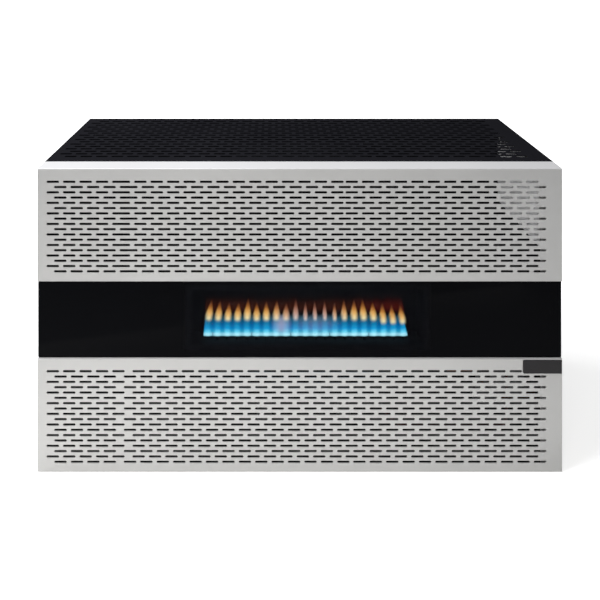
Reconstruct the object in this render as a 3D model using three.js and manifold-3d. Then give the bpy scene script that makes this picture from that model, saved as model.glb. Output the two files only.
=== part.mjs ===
// Wall-hung, room-sealed gas heater with a perforated sheet casing and a live flame
// seen through a full-width glass band.
// Millimetres, +Z up, front facing -Y, origin at the middle of the casing's underside.

import * as THREE from 'three';
import { mergeVertices } from 'three/addons/utils/BufferGeometryUtils.js';
import Module from 'manifold-3d';

const wasm = await Module();
wasm.setup();

// Casing
const casingWidth = 800;
const casingDepth = 180;
const panelHeight = 172;
const bandHeight = 118;
const sheet = 1.5;
const coverFlangeDepth = 21;
const coverJoint = 0.3;
const rearFlangeWidth = 15;

// Perforation: slots with staggered rows
const slotLength = 38;
const slotHeight = 7;
const slotPitch = 50;
const slotRowPitch = 16.32;
const slotSideMargin = 20;
const slotEndMargin = 8;
const slotTopMargin = 18.25;
const slotBottomMargin = 15.75;
const deckSlotFrontMargin = 14;
const deckSlotRearMargin = 4;

// Glass band and the posts behind it
const glassRecess = 2.5;
const glassThickness = 4;
const glassGap = 0.5;
const glassCornerRadius = 2;
const postWidth = 28.5;
const postRunningEdge = 14;

// Bare badge plate on the lower panel
const badgeWidth = 59;
const badgeHeight = 20;
const badgeThickness = 1;
const badgeEdgeGap = 1.5;
const badgeTopGap = 1;

// Sealed combustion chamber
const chamberSideRoom = 190;
const chamberShift = 12;
const chamberBottom = 96;
const chamberTopRoom = 58;
const chamberFrontDepth = 24;
const chamberDepth = 99.5;
const chamberRim = 12;
const windowSideMargin = 13;
const windowDrop = 32;
const windowRise = 6;
const gasketWidth = 8;
const gasketThickness = 1.5;
const windowGlassThickness = 4;
const windowFrameWidth = 14;
const windowFrameSheet = 1.25;
const legOffset = 80;
const legFoot = 25;
const legLength = 50;
const baffleHeight = 162;
const baffleDepth = 62;
const baffleLip = 25;
const baffleSideGap = 48;

// Burner
const burnerSideRoom = 42;
const burnerWidth = 30;
const burnerHeight = 28;
const burnerWall = 1.5;
const burnerAxisDepth = 47;
const burnerDrop = 9;
const flamePitch = 15.94;
const portLength = 14;
const portWidth = 4;
const bracketWidth = 20;
const bracketOffset = 110;
const venturiRadius = 9;
const venturiWall = 1;
const venturiReach = 24;
const injectorRadius = 6;
const injectorLength = 18;
const injectorBore = 1.5;

// Pilot group behind the burner
const pilotInset = 40;
const pilotPitch = 16;
const pilotSheet = 1.5;
const pilotLeafDepth = 24;
const pilotLeafDrop = 22;
const pilotLeafHeight = 12;
const pilotRadius = 5;
const thermocoupleRadius = 3;
const electrodeRadius = 3.5;
const electrodeTipRadius = 1;
const collarStep = 2;
const collarHeight = 3;
const pilotStem = 12;
const pilotRise = 24;
const electrodeTipRise = 10;

// Gas valve and controls on the right-hand side
const controlDepth = 65;
const knobHeight = 115;
const igniterHeight = 190;
const inletHeight = 45;
const valveWidth = 56;
const valveDepth = 50;
const valveBottom = 74;
const valveTop = 160;
const valveInset = 88.5;
const spindleRadius = 4;
const spindleLength = 71;
const spindleTail = 14;
const plungerRadius = 7;
const plungerLength = 20;
const plungerStand = 6;
const plungerTravel = 4;
const plungerRoom = 2;
const knobRadius = 19;
const knobGripRadius = 15.5;
const knobLength = 22;
const knobSkirt = 5;
const knobGap = 5;
const knobWebThickness = 6;
const controlPlateThickness = 1;
const controlPlateMargin = 10;
const buttonRadius = 4.6;
const buttonStand = 12;
const buttonTravel = 6;
const igniterRadius = 9;
const igniterNeckRadius = 6.5;
const igniterLength = 48;
const igniterNut = 10;
const igniterNutThickness = 3;
const igniterRecess = 12;
const inletRadius = 6;
const unionRadius = 13;
const unionLength = 24;
const unionWallRadius = 8;
const supportSheet = 2;

// Pipes and leads
const feedPipeRadius = 5;
const pilotPipeRadius = 2;
const thermocoupleLeadRadius = 1.5;
const sparkLeadRadius = 2;
const pilotPipeLane = 54;
const thermocoupleLane = 77;
const sparkLane = 34;
const bendRadius = 18;

// Balanced flue, air duct and wall fixings
const flueDrop = 142;
const flueRadius = 50;
const flueReach = 60;
const collarRadius = 75;
const collarReach = 45;
const tubeWall = 1.5;
const airBoxSideGap = 88;
const airBoxBottomGap = 16;
const airBoxTopGap = 8;
const airSlotWidth = 144;
const airSlotHeight = 20;
const airSlotRise = 8;
const railLength = 600;
const railHeight = 30;
const railDepth = 15;
const railSheet = 2;
const upperRailDrop = 22;
const lowerRailTop = 60;
const railHoleRadius = 4;
const railHoleInset = 50;

// Liner inside the right-hand end
const linerWidth = 112;
const linerBottom = 305;
const linerTopGap = 6;
const linerSheet = 1;

// Fixings
const screwHeadRadius = 4;
const screwHeadHeight = 2;
const screwShankRadius = 2;
const screwShankLength = 7.5;
const backScrewInset = 9;
const backScrewEndGap = 30;

// Clearances, one overrun for cuts, and segment counts
const fit = 0.3;
const overrun = 4;
const roundSegments = 32;
const smallSegments = 12;
const screwSegments = 8;
const pipeSegments = 8;
const pipeStep = 9;
const cornerSegments = 4;

// Places worked out from the sizes above
const casingHeight = 2 * panelHeight + bandHeight;
const halfWidth = casingWidth / 2;
const innerHalf = halfWidth - sheet;
const frontY = -casingDepth / 2;
const backY = casingDepth / 2;
const innerBackY = backY - sheet;
const deckUnder = casingHeight - sheet;
const coverEndY = frontY + coverFlangeDepth;
const shellStartY = coverEndY + coverJoint;
const glassFrontY = frontY + glassRecess;
const glassBackY = glassFrontY + glassThickness;
const bandBottom = panelHeight;
const bandTop = panelHeight + bandHeight;
const chamberWidth = casingWidth - 2 * chamberSideRoom;
const chamberLeft = chamberShift - chamberWidth / 2;
const chamberRight = chamberShift + chamberWidth / 2;
const chamberTop = casingHeight - chamberTopRoom;
const chamberFaceY = frontY + chamberFrontDepth;
const panFrontY = chamberFaceY + sheet;
const panBackY = panFrontY + chamberDepth;
const windowLeft = chamberLeft + windowSideMargin;
const windowRight = chamberRight - windowSideMargin;
const windowBottom = bandBottom - windowDrop;
const windowTop = bandTop + windowRise;
const burnerY = frontY + burnerAxisDepth;
const burnerTop = bandBottom - burnerDrop;
const burnerBottom = burnerTop - burnerHeight;
const burnerMiddle = burnerTop - burnerHeight / 2;
const burnerLeft = chamberLeft + burnerSideRoom;
const burnerRight = chamberRight - burnerSideRoom;
const flameCount = Math.floor((burnerRight - burnerLeft) / flamePitch);
const pilotLeafY = burnerY + burnerWidth / 2;
const pilotY = pilotLeafY + pilotLeafDepth / 2 + pilotSheet;
const pilotShelfTop = burnerTop - pilotLeafDrop;
const pilotX = burnerRight - pilotInset;
const electrodeX = pilotX - pilotPitch;
const thermocoupleX = pilotX + pilotPitch;
const controlY = frontY + controlDepth;
const valveLeft = halfWidth - valveInset - sheet;
const valveRight = valveLeft + valveWidth;
const valveFrontY = controlY - valveDepth / 2;
const valveBackY = controlY + valveDepth / 2;
const knobBaseX = halfWidth + controlPlateThickness + knobGap;
const airBoxLeft = chamberLeft + airBoxSideGap;
const airBoxRight = chamberRight - airBoxSideGap;
const airBoxBottom = chamberBottom - airBoxBottomGap;
const airBoxTop = chamberTop + airBoxTopGap;
const wallY = backY + railDepth;
const flueHeight = casingHeight - flueDrop;
const upperRailTop = casingHeight - upperRailDrop;

// A box between two corners.
function box(x0, x1, y0, y1, z0, z1) {
  const geometry = new THREE.BoxGeometry(x1 - x0, y1 - y0, z1 - z0);
  geometry.translate((x0 + x1) / 2, (y0 + y1) / 2, (z0 + z1) / 2);
  return geometry;
}

// A closed rectangle, as a shape or as a hole in one.
function rectangle(path, u0, u1, v0, v1) {
  path.moveTo(u0, v0);
  path.lineTo(u1, v0);
  path.lineTo(u1, v1);
  path.lineTo(u0, v1);
  path.closePath();
  return path;
}

function circle(path, u, v, radius) {
  path.absarc(u, v, radius, 0, 2 * Math.PI, false);
  return path;
}

// A hexagon with a corner pointing along the first axis.
function hexagon(radius) {
  const corners = 6;
  const shape = new THREE.Shape();
  for (let i = 0; i < corners; i++) {
    const angle = (2 * Math.PI * i) / corners;
    const u = radius * Math.cos(angle);
    const v = radius * Math.sin(angle);
    if (i === 0) shape.moveTo(u, v);
    else shape.lineTo(u, v);
  }
  shape.closePath();
  return shape;
}

function polygon(points) {
  const shape = new THREE.Shape();
  points.forEach(([u, v], i) => (i === 0 ? shape.moveTo(u, v) : shape.lineTo(u, v)));
  shape.closePath();
  return shape;
}

// A shape in the plane across one axis, extruded between two places on that axis.
// Across X the shape holds (y, z), across Y it holds (x, z) and across Z it holds (x, y).
function extrude(axis, shape, from, to, curveSegments = roundSegments / 2) {
  const settings = { depth: to - from, bevelEnabled: false, steps: 1, curveSegments };
  const geometry = new THREE.ExtrudeGeometry(shape, settings);
  const along = {
    x: [new THREE.Vector3(0, 1, 0), new THREE.Vector3(0, 0, 1), new THREE.Vector3(1, 0, 0)],
    y: [new THREE.Vector3(1, 0, 0), new THREE.Vector3(0, 0, 1), new THREE.Vector3(0, -1, 0)],
    z: [new THREE.Vector3(1, 0, 0), new THREE.Vector3(0, 1, 0), new THREE.Vector3(0, 0, 1)],
  }[axis];
  geometry.applyMatrix4(new THREE.Matrix4().makeBasis(...along));
  if (axis === 'x') geometry.translate(from, 0, 0);
  if (axis === 'y') geometry.translate(0, to, 0);
  if (axis === 'z') geometry.translate(0, 0, from);
  return geometry;
}

// A round bar along one axis, centred on the two other coordinates.
function bar(axis, u, v, radius, from, to, segments = roundSegments) {
  return extrude(axis, circle(new THREE.Shape(), u, v, radius), from, to, segments / 2);
}

// A turned piece: profile points are (radius, height), spun about +Z.
function turned(profile, segments = roundSegments) {
  const points = profile.map(([radius, height]) => new THREE.Vector2(radius, height));
  const geometry = new THREE.LatheGeometry(points, segments);
  geometry.rotateX(Math.PI / 2);
  return geometry;
}

// A pipe through the given points, with a smooth bend at each inner one.
function pipe(points, radius) {
  const route = new THREE.CurvePath();
  let start = points[0];
  for (let i = 1; i < points.length - 1; i++) {
    const before = points[i - 1].clone().sub(points[i]);
    const after = points[i + 1].clone().sub(points[i]);
    const reach = Math.min(bendRadius, before.length() / 2, after.length() / 2);
    const entry = points[i].clone().add(before.setLength(reach));
    const exit = points[i].clone().add(after.setLength(reach));
    if (start.distanceTo(entry) > 0) route.add(new THREE.LineCurve3(start, entry));
    route.add(new THREE.QuadraticBezierCurve3(entry, points[i], exit));
    start = exit;
  }
  const end = points[points.length - 1];
  if (start.distanceTo(end) > 0) route.add(new THREE.LineCurve3(start, end));
  return sweep(route, radius);
}

// A tube of flat-sided section whose rings stand where the route bends.
function sweep(route, radius) {
  const steps = Math.max(2, Math.ceil(route.getLength() / pipeStep));
  const shape = circle(new THREE.Shape(), 0, 0, radius);
  const settings = { steps, extrudePath: route, curveSegments: pipeSegments / 2, bevelEnabled: false };
  return new THREE.ExtrudeGeometry(shape, settings);
}

// The same surface as a closed solid, with shared corners merged and empty triangles left out.
function solid(geometry) {
  const bare = geometry.clone();
  bare.deleteAttribute('normal');
  bare.deleteAttribute('uv');
  const merged = mergeVertices(bare);
  const index = merged.index.array;
  const kept = [];
  for (let i = 0; i < index.length; i += 3) {
    const [a, b, c] = [index[i], index[i + 1], index[i + 2]];
    if (a !== b && b !== c && c !== a) kept.push(a, b, c);
  }
  const vertProperties = new Float32Array(merged.attributes.position.array);
  const triVerts = new Uint32Array(kept);
  return new wasm.Manifold(new wasm.Mesh({ numProp: 3, vertProperties, triVerts }));
}

function surface(manifold) {
  const mesh = manifold.getMesh();
  const geometry = new THREE.BufferGeometry();
  geometry.setAttribute('position', new THREE.BufferAttribute(mesh.vertProperties, mesh.numProp));
  geometry.setIndex(new THREE.BufferAttribute(mesh.triVerts, 1));
  return geometry;
}

function join(...pieces) {
  return surface(pieces.map(solid).reduce((whole, piece) => whole.add(piece)));
}

function cut(body, ...tools) {
  return surface(tools.map(solid).reduce((whole, tool) => whole.subtract(tool), solid(body)));
}

// Materials
function finish(color, roughness, metalness) {
  return new THREE.MeshStandardMaterial({ color, roughness, metalness });
}

const silverPaint = finish('#b6b5b5', 0.45, 0.3);
const blackPaint = finish('#16161a', 0.5, 0.1);
const bandGlass = finish('#0c0c10', 0.08, 0);
const bareBadge = finish('#0a0a0c', 0.35, 0);
const clearGlass = finish('#c8d2d4', 0.05, 0);
const hotSteel = finish('#3a3838', 0.6, 0.7);
const galvanised = finish('#a9adb0', 0.4, 0.8);
const stainless = finish('#8f8c88', 0.35, 0.9);
const castAlloy = finish('#8d9093', 0.5, 0.8);
const brass = finish('#b08d4a', 0.35, 0.9);
const copper = finish('#a8623e', 0.35, 0.9);
const ceramic = finish('#e4e0d6', 0.4, 0);
const gasketFibre = finish('#6b6862', 0.95, 0);
const blackPlastic = finish('#1a1a1c', 0.4, 0);
const plateBlack = finish('#202022', 0.45, 0.2);
const redPlastic = finish('#8e1f1c', 0.35, 0);
const leadSleeve = finish('#3b3b3e', 0.6, 0);
const zincSteel = finish('#9a9c9e', 0.35, 0.9);

const heater = new THREE.Group();

function add(name, geometry, material, parent = heater) {
  const mesh = new THREE.Mesh(geometry, material);
  mesh.name = name;
  parent.add(mesh);
  return mesh;
}

// Staggered rows of slots filling the area between the given edges, each cut by one box.
function slots(left, right, lowest, highest, boxAt) {
  const tools = [];
  const rows = Math.floor((highest - lowest - slotHeight) / slotRowPitch) + 1;
  for (let row = 0; row < rows; row++) {
    const middle = highest - slotHeight / 2 - row * slotRowPitch;
    const first = left + (row % 2) * (slotPitch / 2);
    const count = Math.floor((right - first - slotLength) / slotPitch) + 1;
    for (let i = 0; i < count; i++) {
      const start = first + i * slotPitch;
      tools.push(boxAt(start, start + slotLength, middle - slotHeight / 2, middle + slotHeight / 2));
    }
  }
  return tools;
}

// One folded front panel: perforated face, side flanges, and flanges above and below.
function frontPanel(bottom, topFlange, bottomFlange, screwAt) {
  const top = bottom + panelHeight;
  const behind = frontY + sheet / 2;
  const folded = join(
    box(-halfWidth, halfWidth, frontY, frontY + sheet, bottom, top),
    box(-halfWidth, halfWidth, behind, frontY + topFlange, top - sheet, top),
    box(-halfWidth, halfWidth, behind, frontY + bottomFlange, bottom, bottom + sheet),
    box(-halfWidth, -innerHalf, behind, coverEndY, bottom, top),
    box(innerHalf, halfWidth, behind, coverEndY, bottom, top),
  );
  const rows = slots(
    -halfWidth + slotSideMargin,
    halfWidth - slotEndMargin,
    bottom + slotBottomMargin,
    top - slotTopMargin,
    (x0, x1, z0, z1) => box(x0, x1, frontY - overrun, frontY + overrun, z0, z1),
  );
  return cut(folded, ...rows, panelScrewHole(-1, screwAt), panelScrewHole(1, screwAt));
}

// Screws through the side flanges of the panels, in the middle of the post behind them.
const panelScrewY = (glassBackY + shellStartY) / 2;

function panelScrewHole(side, height) {
  const inner = side * (innerHalf - screwShankLength);
  const outer = side * (halfWidth + overrun);
  const ends = [Math.min(inner, outer), Math.max(inner, outer)];
  return bar('x', panelScrewY, height, screwShankRadius + fit, ...ends, screwSegments);
}

function addFrontPanels() {
  const clearOfGlass = glassRecess + glassThickness;
  const lower = frontPanel(0, clearOfGlass, clearOfGlass, panelHeight / 2);
  const upper = frontPanel(bandTop, coverFlangeDepth, clearOfGlass, bandTop + panelHeight / 2);
  add('lower_front_panel', lower, silverPaint);
  add('upper_front_panel', upper, silverPaint);
}

// The deck lies on the side and back plates, behind the upper panel's flange.
function addDeck() {
  const deck = box(-halfWidth, halfWidth, shellStartY, backY, deckUnder, casingHeight);
  const rows = slots(
    -halfWidth + slotSideMargin,
    halfWidth - slotEndMargin,
    shellStartY + deckSlotFrontMargin,
    backY - deckSlotRearMargin,
    (x0, x1, y0, y1) => box(x0, x1, y0, y1, deckUnder - overrun, casingHeight + overrun),
  );
  add('top_deck', cut(deck, ...rows), blackPaint);
}

// Each side plate has a flange folded inwards that the back plate is screwed to.
function sidePlate(side, ...holes) {
  const outline = polygon([
    [side * halfWidth, shellStartY],
    [side * halfWidth, backY],
    [side * innerHalf, backY],
    [side * innerHalf, innerBackY],
    [side * (innerHalf - rearFlangeWidth), innerBackY],
    [side * (innerHalf - rearFlangeWidth), innerBackY - sheet],
    [side * innerHalf, innerBackY - sheet],
    [side * innerHalf, shellStartY],
  ]);
  const plate = extrude('z', outline, 0, deckUnder);
  return cut(plate, ...holes, ...backScrewHeights.map((z) => backScrewHole(side, z)));
}

const backScrewHeights = [backScrewEndGap, deckUnder - backScrewEndGap];
const backScrewX = innerHalf - backScrewInset;

function backScrewHole(side, height) {
  const start = backY - screwShankLength - overrun;
  return bar('y', side * backScrewX, height, screwShankRadius + fit, start, backY + overrun, screwSegments);
}

function sideHole(height, radius) {
  const start = innerHalf - overrun;
  const end = halfWidth + controlPlateThickness + overrun;
  return bar('x', controlY, height, radius, start, end, smallSegments);
}

function addSides() {
  const controlHoles = [
    sideHole(knobHeight, spindleRadius + plungerRoom),
    sideHole(igniterHeight, igniterNeckRadius + fit),
    sideHole(inletHeight, inletRadius + fit),
  ];
  add('left_side_plate', sidePlate(-1), blackPaint);
  add('right_side_plate', sidePlate(1, ...controlHoles), blackPaint);
}

function addBackAndBase() {
  const shape = rectangle(new THREE.Shape(), -innerHalf, innerHalf, sheet, deckUnder);
  const flueHole = circle(new THREE.Path(), chamberShift, flueHeight, collarRadius + fit);
  shape.holes.push(flueHole);
  const holes = [];
  for (const side of [-1, 1]) {
    for (const height of backScrewHeights) holes.push(backScrewHole(side, height));
  }
  add('back_plate', cut(extrude('y', shape, innerBackY, backY), ...holes), blackPaint);
  add('base_plate', box(-innerHalf, innerHalf, glassBackY, innerBackY - sheet, 0, sheet), blackPaint);
}

// A rounded rectangle across Y, for the glass panes.
function roundedPane(left, right, bottom, top, radius, y0, y1) {
  const shape = new THREE.Shape();
  shape.moveTo(left + radius, bottom);
  shape.absarc(right - radius, bottom + radius, radius, -Math.PI / 2, 0, false);
  shape.absarc(right - radius, top - radius, radius, 0, Math.PI / 2, false);
  shape.absarc(left + radius, top - radius, radius, Math.PI / 2, Math.PI, false);
  shape.absarc(left + radius, bottom + radius, radius, Math.PI, 1.5 * Math.PI, false);
  return extrude('y', shape, y0, y1, cornerSegments);
}

function addGlassBand() {
  const bottom = bandBottom + glassGap;
  const top = bandTop - glassGap;
  const pane = roundedPane(-halfWidth, halfWidth, bottom, top, glassCornerRadius, glassFrontY, glassBackY);
  add('glass_band', pane, bandGlass);
}

// Channel posts stand on the base plate, carry the panels and stop behind the glass band.
function post(side) {
  const outline = polygon([
    [side * innerHalf, glassBackY],
    [side * innerHalf, shellStartY],
    [side * (innerHalf - postRunningEdge), shellStartY],
    [side * (innerHalf - postRunningEdge), shellStartY - sheet],
    [side * (innerHalf - sheet), shellStartY - sheet],
    [side * (innerHalf - sheet), glassBackY + sheet],
    [side * (innerHalf - postWidth), glassBackY + sheet],
    [side * (innerHalf - postWidth), glassBackY],
  ]);
  const channel = extrude('z', outline, sheet, deckUnder);
  const heights = [panelHeight / 2, bandTop + panelHeight / 2];
  return cut(channel, ...heights.map((height) => panelScrewHole(side, height)));
}

function addPosts() {
  add('left_front_post', post(-1), blackPaint);
  add('right_front_post', post(1), blackPaint);
}

function addBadge() {
  const right = halfWidth - badgeEdgeGap;
  const top = panelHeight - badgeTopGap;
  const plate = box(right - badgeWidth, right, frontY - badgeThickness, frontY, top - badgeHeight, top);
  add('badge_plate', plate, bareBadge);
}

// The pan is an open-fronted box with a rim for the chamber's front plate.
function chamberPan() {
  const rimOut = chamberRim;
  const outer = join(
    box(chamberLeft, chamberRight, panFrontY, panBackY, chamberBottom, chamberTop),
    box(
      chamberLeft - rimOut,
      chamberRight + rimOut,
      panFrontY,
      panFrontY + sheet,
      chamberBottom - rimOut,
      chamberTop + rimOut,
    ),
  );
  return cut(
    outer,
    box(
      chamberLeft + sheet,
      chamberRight - sheet,
      panFrontY - overrun,
      panBackY - sheet,
      chamberBottom + sheet,
      chamberTop - sheet,
    ),
    bar('y', chamberShift, flueHeight, flueRadius + fit, panBackY - overrun, panBackY + overrun),
    airSlot(panBackY - overrun, panBackY + overrun),
    bar(
      'x',
      burnerY,
      burnerMiddle,
      venturiRadius + fit,
      chamberRight - overrun,
      chamberRight + overrun,
      smallSegments,
    ),
    floorHole(pilotX, pilotPipeRadius),
    floorHole(thermocoupleX, thermocoupleLeadRadius),
    floorHole(electrodeX, sparkLeadRadius),
  );
}

function airSlot(y0, y1) {
  const middle = chamberShift;
  const bottom = chamberBottom + airSlotRise;
  return box(middle - airSlotWidth / 2, middle + airSlotWidth / 2, y0, y1, bottom, bottom + airSlotHeight);
}

function floorHole(x, radius) {
  const start = chamberBottom - overrun;
  return bar('z', x, pilotY, radius + fit, start, chamberBottom + sheet + overrun, smallSegments);
}

// A flat ring round the chamber's window, as wide as the margin given.
function windowRing(margin, y0, y1) {
  const shape = rectangle(
    new THREE.Shape(),
    windowLeft - margin,
    windowRight + margin,
    windowBottom - margin,
    windowTop + margin,
  );
  const opening = new THREE.Path();
  shape.holes.push(rectangle(opening, windowLeft, windowRight, windowBottom, windowTop));
  return extrude('y', shape, y0, y1);
}

function addChamber() {
  add('chamber_pan', chamberPan(), hotSteel);
  const front = rectangle(
    new THREE.Shape(),
    chamberLeft - chamberRim,
    chamberRight + chamberRim,
    chamberBottom - chamberRim,
    chamberTop + chamberRim,
  );
  front.holes.push(rectangle(new THREE.Path(), windowLeft, windowRight, windowBottom, windowTop));
  add('chamber_front', extrude('y', front, chamberFaceY, panFrontY), hotSteel);
  const gasketY = chamberFaceY - gasketThickness;
  add('window_gasket', windowRing(gasketWidth, gasketY, chamberFaceY), gasketFibre);
  const glassY = gasketY - windowGlassThickness;
  const pane = box(
    windowLeft - gasketWidth,
    windowRight + gasketWidth,
    glassY,
    gasketY,
    windowBottom - gasketWidth,
    windowTop + gasketWidth,
  );
  add('window_glass', pane, clearGlass);
  add('window_frame', windowFrame(glassY), hotSteel);
}

// The frame steps over the pane's edge and is fastened to the chamber front round it.
function windowFrame(glassY) {
  const outer = windowRing(gasketWidth + windowFrameWidth, glassY - windowFrameSheet, chamberFaceY);
  const room = gasketWidth + fit;
  const pocket = box(
    windowLeft - room,
    windowRight + room,
    glassY,
    chamberFaceY + overrun,
    windowBottom - room,
    windowTop + room,
  );
  return cut(outer, pocket);
}

// Folded legs carry the chamber from the base plate.
function leg() {
  const height = chamberBottom - sheet;
  const outline = polygon([
    [0, 0],
    [legFoot, 0],
    [legFoot, supportSheet],
    [supportSheet, supportSheet],
    [supportSheet, height - supportSheet],
    [legFoot, height - supportSheet],
    [legFoot, height],
    [0, height],
  ]);
  return extrude('y', outline, 0, legLength);
}

function addLegs() {
  const places = { left: -legOffset, right: legOffset - legFoot };
  for (const [side, offset] of Object.entries(places)) {
    const mesh = add(`chamber_${side}_leg`, leg(), galvanised);
    mesh.position.set(chamberShift + offset, -legLength / 2, sheet);
  }
}

// A shelf on the chamber's back, below the flue, that turns the hot gas forwards.
function addBaffle() {
  const top = chamberBottom + baffleHeight;
  const left = chamberLeft + baffleSideGap;
  const right = chamberRight - baffleSideGap;
  const back = panBackY - sheet;
  const shelf = box(left, right, back - baffleDepth, back, top - sheet, top);
  const lip = box(left, right, back - sheet, back, top - baffleLip, top);
  add('flue_baffle', join(shelf, lip), hotSteel);
}

// A hollow bar with one port for each flame and an inlet for the mixing tube.
function addBurner() {
  const halfBurner = burnerWidth / 2;
  const outer = box(
    burnerLeft,
    burnerRight,
    burnerY - halfBurner,
    burnerY + halfBurner,
    burnerBottom,
    burnerTop,
  );
  const inner = box(
    burnerLeft + burnerWall,
    burnerRight - burnerWall,
    burnerY - halfBurner + burnerWall,
    burnerY + halfBurner - burnerWall,
    burnerBottom + burnerWall,
    burnerTop - burnerWall,
  );
  const ports = [];
  for (let i = 0; i < flameCount; i++) {
    const x = chamberShift + (i - (flameCount - 1) / 2) * flamePitch;
    const [x0, x1] = [x - portWidth / 2, x + portWidth / 2];
    const [y0, y1] = [burnerY - portLength / 2, burnerY + portLength / 2];
    ports.push(box(x0, x1, y0, y1, burnerTop - burnerWall - overrun, burnerTop + overrun));
  }
  const inletRoom = venturiRadius + fit;
  const inlet = bar(
    'x',
    burnerY,
    burnerMiddle,
    inletRoom,
    burnerRight - burnerWall - overrun,
    burnerRight + overrun,
    smallSegments,
  );
  add('burner_bar', cut(outer, inner, inlet, ...ports), stainless);
}

// Folded brackets hold the burner above the chamber's floor.
function addBurnerBrackets() {
  const height = burnerBottom - chamberBottom - sheet;
  const outline = polygon([
    [0, 0],
    [bracketWidth, 0],
    [bracketWidth, sheet],
    [sheet, sheet],
    [sheet, height - sheet],
    [bracketWidth, height - sheet],
    [bracketWidth, height],
    [0, height],
  ]);
  const places = { left: -bracketOffset, right: bracketOffset - bracketWidth };
  for (const [side, offset] of Object.entries(places)) {
    const bracket = extrude('y', outline, 0, burnerWidth);
    const mesh = add(`burner_${side}_bracket`, bracket, hotSteel);
    mesh.position.set(chamberShift + offset, burnerY - burnerWidth / 2, chamberBottom + sheet);
  }
}

// The mixing tube enters the burner's end; the injector stands in its mouth outside the chamber.
const venturiEnd = chamberRight + venturiReach;
const injectorStart = venturiEnd - injectorLength / 2;
const injectorEnd = injectorStart + injectorLength;

function addMixingTube() {
  const shape = circle(new THREE.Shape(), burnerY, burnerMiddle, venturiRadius);
  shape.holes.push(circle(new THREE.Path(), burnerY, burnerMiddle, venturiRadius - venturiWall));
  const start = burnerRight - burnerWall - overrun;
  add('mixing_tube', extrude('x', shape, start, venturiEnd, smallSegments / 2), stainless);
  const nozzle = turned([
    [injectorBore, 0],
    [injectorRadius - venturiWall, 0],
    [injectorRadius, injectorLength / 4],
    [injectorRadius, injectorLength / 2 + fit],
    [venturiRadius, injectorLength / 2 + fit],
    [venturiRadius, injectorLength],
    [injectorBore, injectorLength],
    [injectorBore, 0],
  ], smallSegments);
  nozzle.rotateY(Math.PI / 2);
  const injector = add('injector', surface(solid(nozzle)), brass);
  injector.position.set(injectorStart, burnerY, burnerMiddle);
}

// A leaf on the burner's back holds the pilot, the flame sensor and the spark electrode.
function addPilotGroup() {
  const left = electrodeX - pilotPitch / 2;
  const right = thermocoupleX + pilotPitch / 2;
  const back = pilotLeafY + pilotLeafDepth + pilotSheet;
  const shelf = box(left, right, pilotLeafY, back, pilotShelfTop - pilotSheet, pilotShelfTop);
  const lip = box(
    left,
    right,
    pilotLeafY,
    pilotLeafY + pilotSheet,
    pilotShelfTop - pilotSheet,
    pilotShelfTop + pilotLeafHeight,
  );
  const holes = [
    [pilotX, pilotRadius],
    [thermocoupleX, thermocoupleRadius],
    [electrodeX, electrodeRadius],
  ].map(([x, radius]) => shelfHole(x, radius));
  add('pilot_bracket', cut(join(shelf, lip), ...holes), stainless);

  const hood = pilotRadius / 2;
  addStem('pilot_burner', brass, pilotX, pilotRadius, [
    [pilotRadius, pilotRise - hood],
    [pilotRadius - hood, pilotRise],
  ]);
  addStem('thermocouple', copper, thermocoupleX, thermocoupleRadius, [
    [thermocoupleRadius, pilotRise],
    [thermocoupleRadius / 2, pilotRise + thermocoupleRadius],
  ]);
  addStem('spark_electrode', ceramic, electrodeX, electrodeRadius, [
    [electrodeRadius, pilotRise - electrodeRadius],
    [electrodeTipRadius, pilotRise - electrodeRadius],
    [electrodeTipRadius, pilotRise + electrodeTipRise],
  ]);
}

function shelfHole(x, radius) {
  const start = pilotShelfTop - pilotSheet - overrun;
  return bar('z', x, pilotY, radius + fit, start, pilotShelfTop + overrun, smallSegments);
}

// A stem that hangs by its collar in the bracket's hole.
function addStem(name, material, x, radius, upper) {
  const below = -pilotSheet - pilotStem;
  const last = upper[upper.length - 1];
  const profile = [
    [0, below],
    [radius, below],
    [radius, 0],
    [radius + collarStep, 0],
    [radius + collarStep, collarHeight],
    [radius, collarHeight],
    ...upper,
    [0, last[1]],
  ];
  const mesh = add(name, surface(solid(turned(profile, smallSegments))), material);
  mesh.position.set(x, pilotY, pilotShelfTop);
}

// The liner covers the upper right end of the casing: one leaf behind, one against the side.
function addLiner() {
  const top = deckUnder - linerTopGap;
  const backLeaf = innerBackY - sheet;
  const outline = polygon([
    [innerHalf, shellStartY + coverJoint],
    [innerHalf, backLeaf],
    [innerHalf - linerWidth, backLeaf],
    [innerHalf - linerWidth, backLeaf - linerSheet],
    [innerHalf - linerSheet, backLeaf - linerSheet],
    [innerHalf - linerSheet, shellStartY + coverJoint],
  ]);
  const liner = extrude('z', outline, linerBottom, top);
  add('heat_liner', cut(liner, backScrewHole(1, backScrewHeights[1])), galvanised);
}

// The valve body, with a bore for the plunger that has room behind it for its travel.
function addValve() {
  const block = box(valveLeft, valveRight, valveFrontY, valveBackY, valveBottom, valveTop);
  const boreStart = valveRight - plungerLength + plungerStand - plungerTravel - plungerRoom;
  const bore = bar(
    'x',
    controlY,
    knobHeight,
    plungerRadius + fit,
    boreStart,
    valveRight + overrun,
    2 * smallSegments,
  );
  add('gas_valve_body', cut(block, bore), castAlloy);
  addValveBracket();
}

// The bracket stands on the base plate behind the valve.
function addValveBracket() {
  const foot = legFoot;
  const inset = supportSheet;
  const outline = polygon([
    [valveBackY, sheet],
    [valveBackY + foot, sheet],
    [valveBackY + foot, sheet + supportSheet],
    [valveBackY + supportSheet, sheet + supportSheet],
    [valveBackY + supportSheet, valveTop - inset],
    [valveBackY, valveTop - inset],
  ]);
  add('valve_bracket', extrude('x', outline, valveLeft + inset, valveRight - inset), galvanised);
}

// The plunger sleeve slides in the valve; the spindle turns in the sleeve and carries the knob.
const spindleStart = valveRight - spindleTail;
const spindleEnd = spindleStart + spindleLength;
const spindleFlat = spindleRadius / 2;

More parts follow.
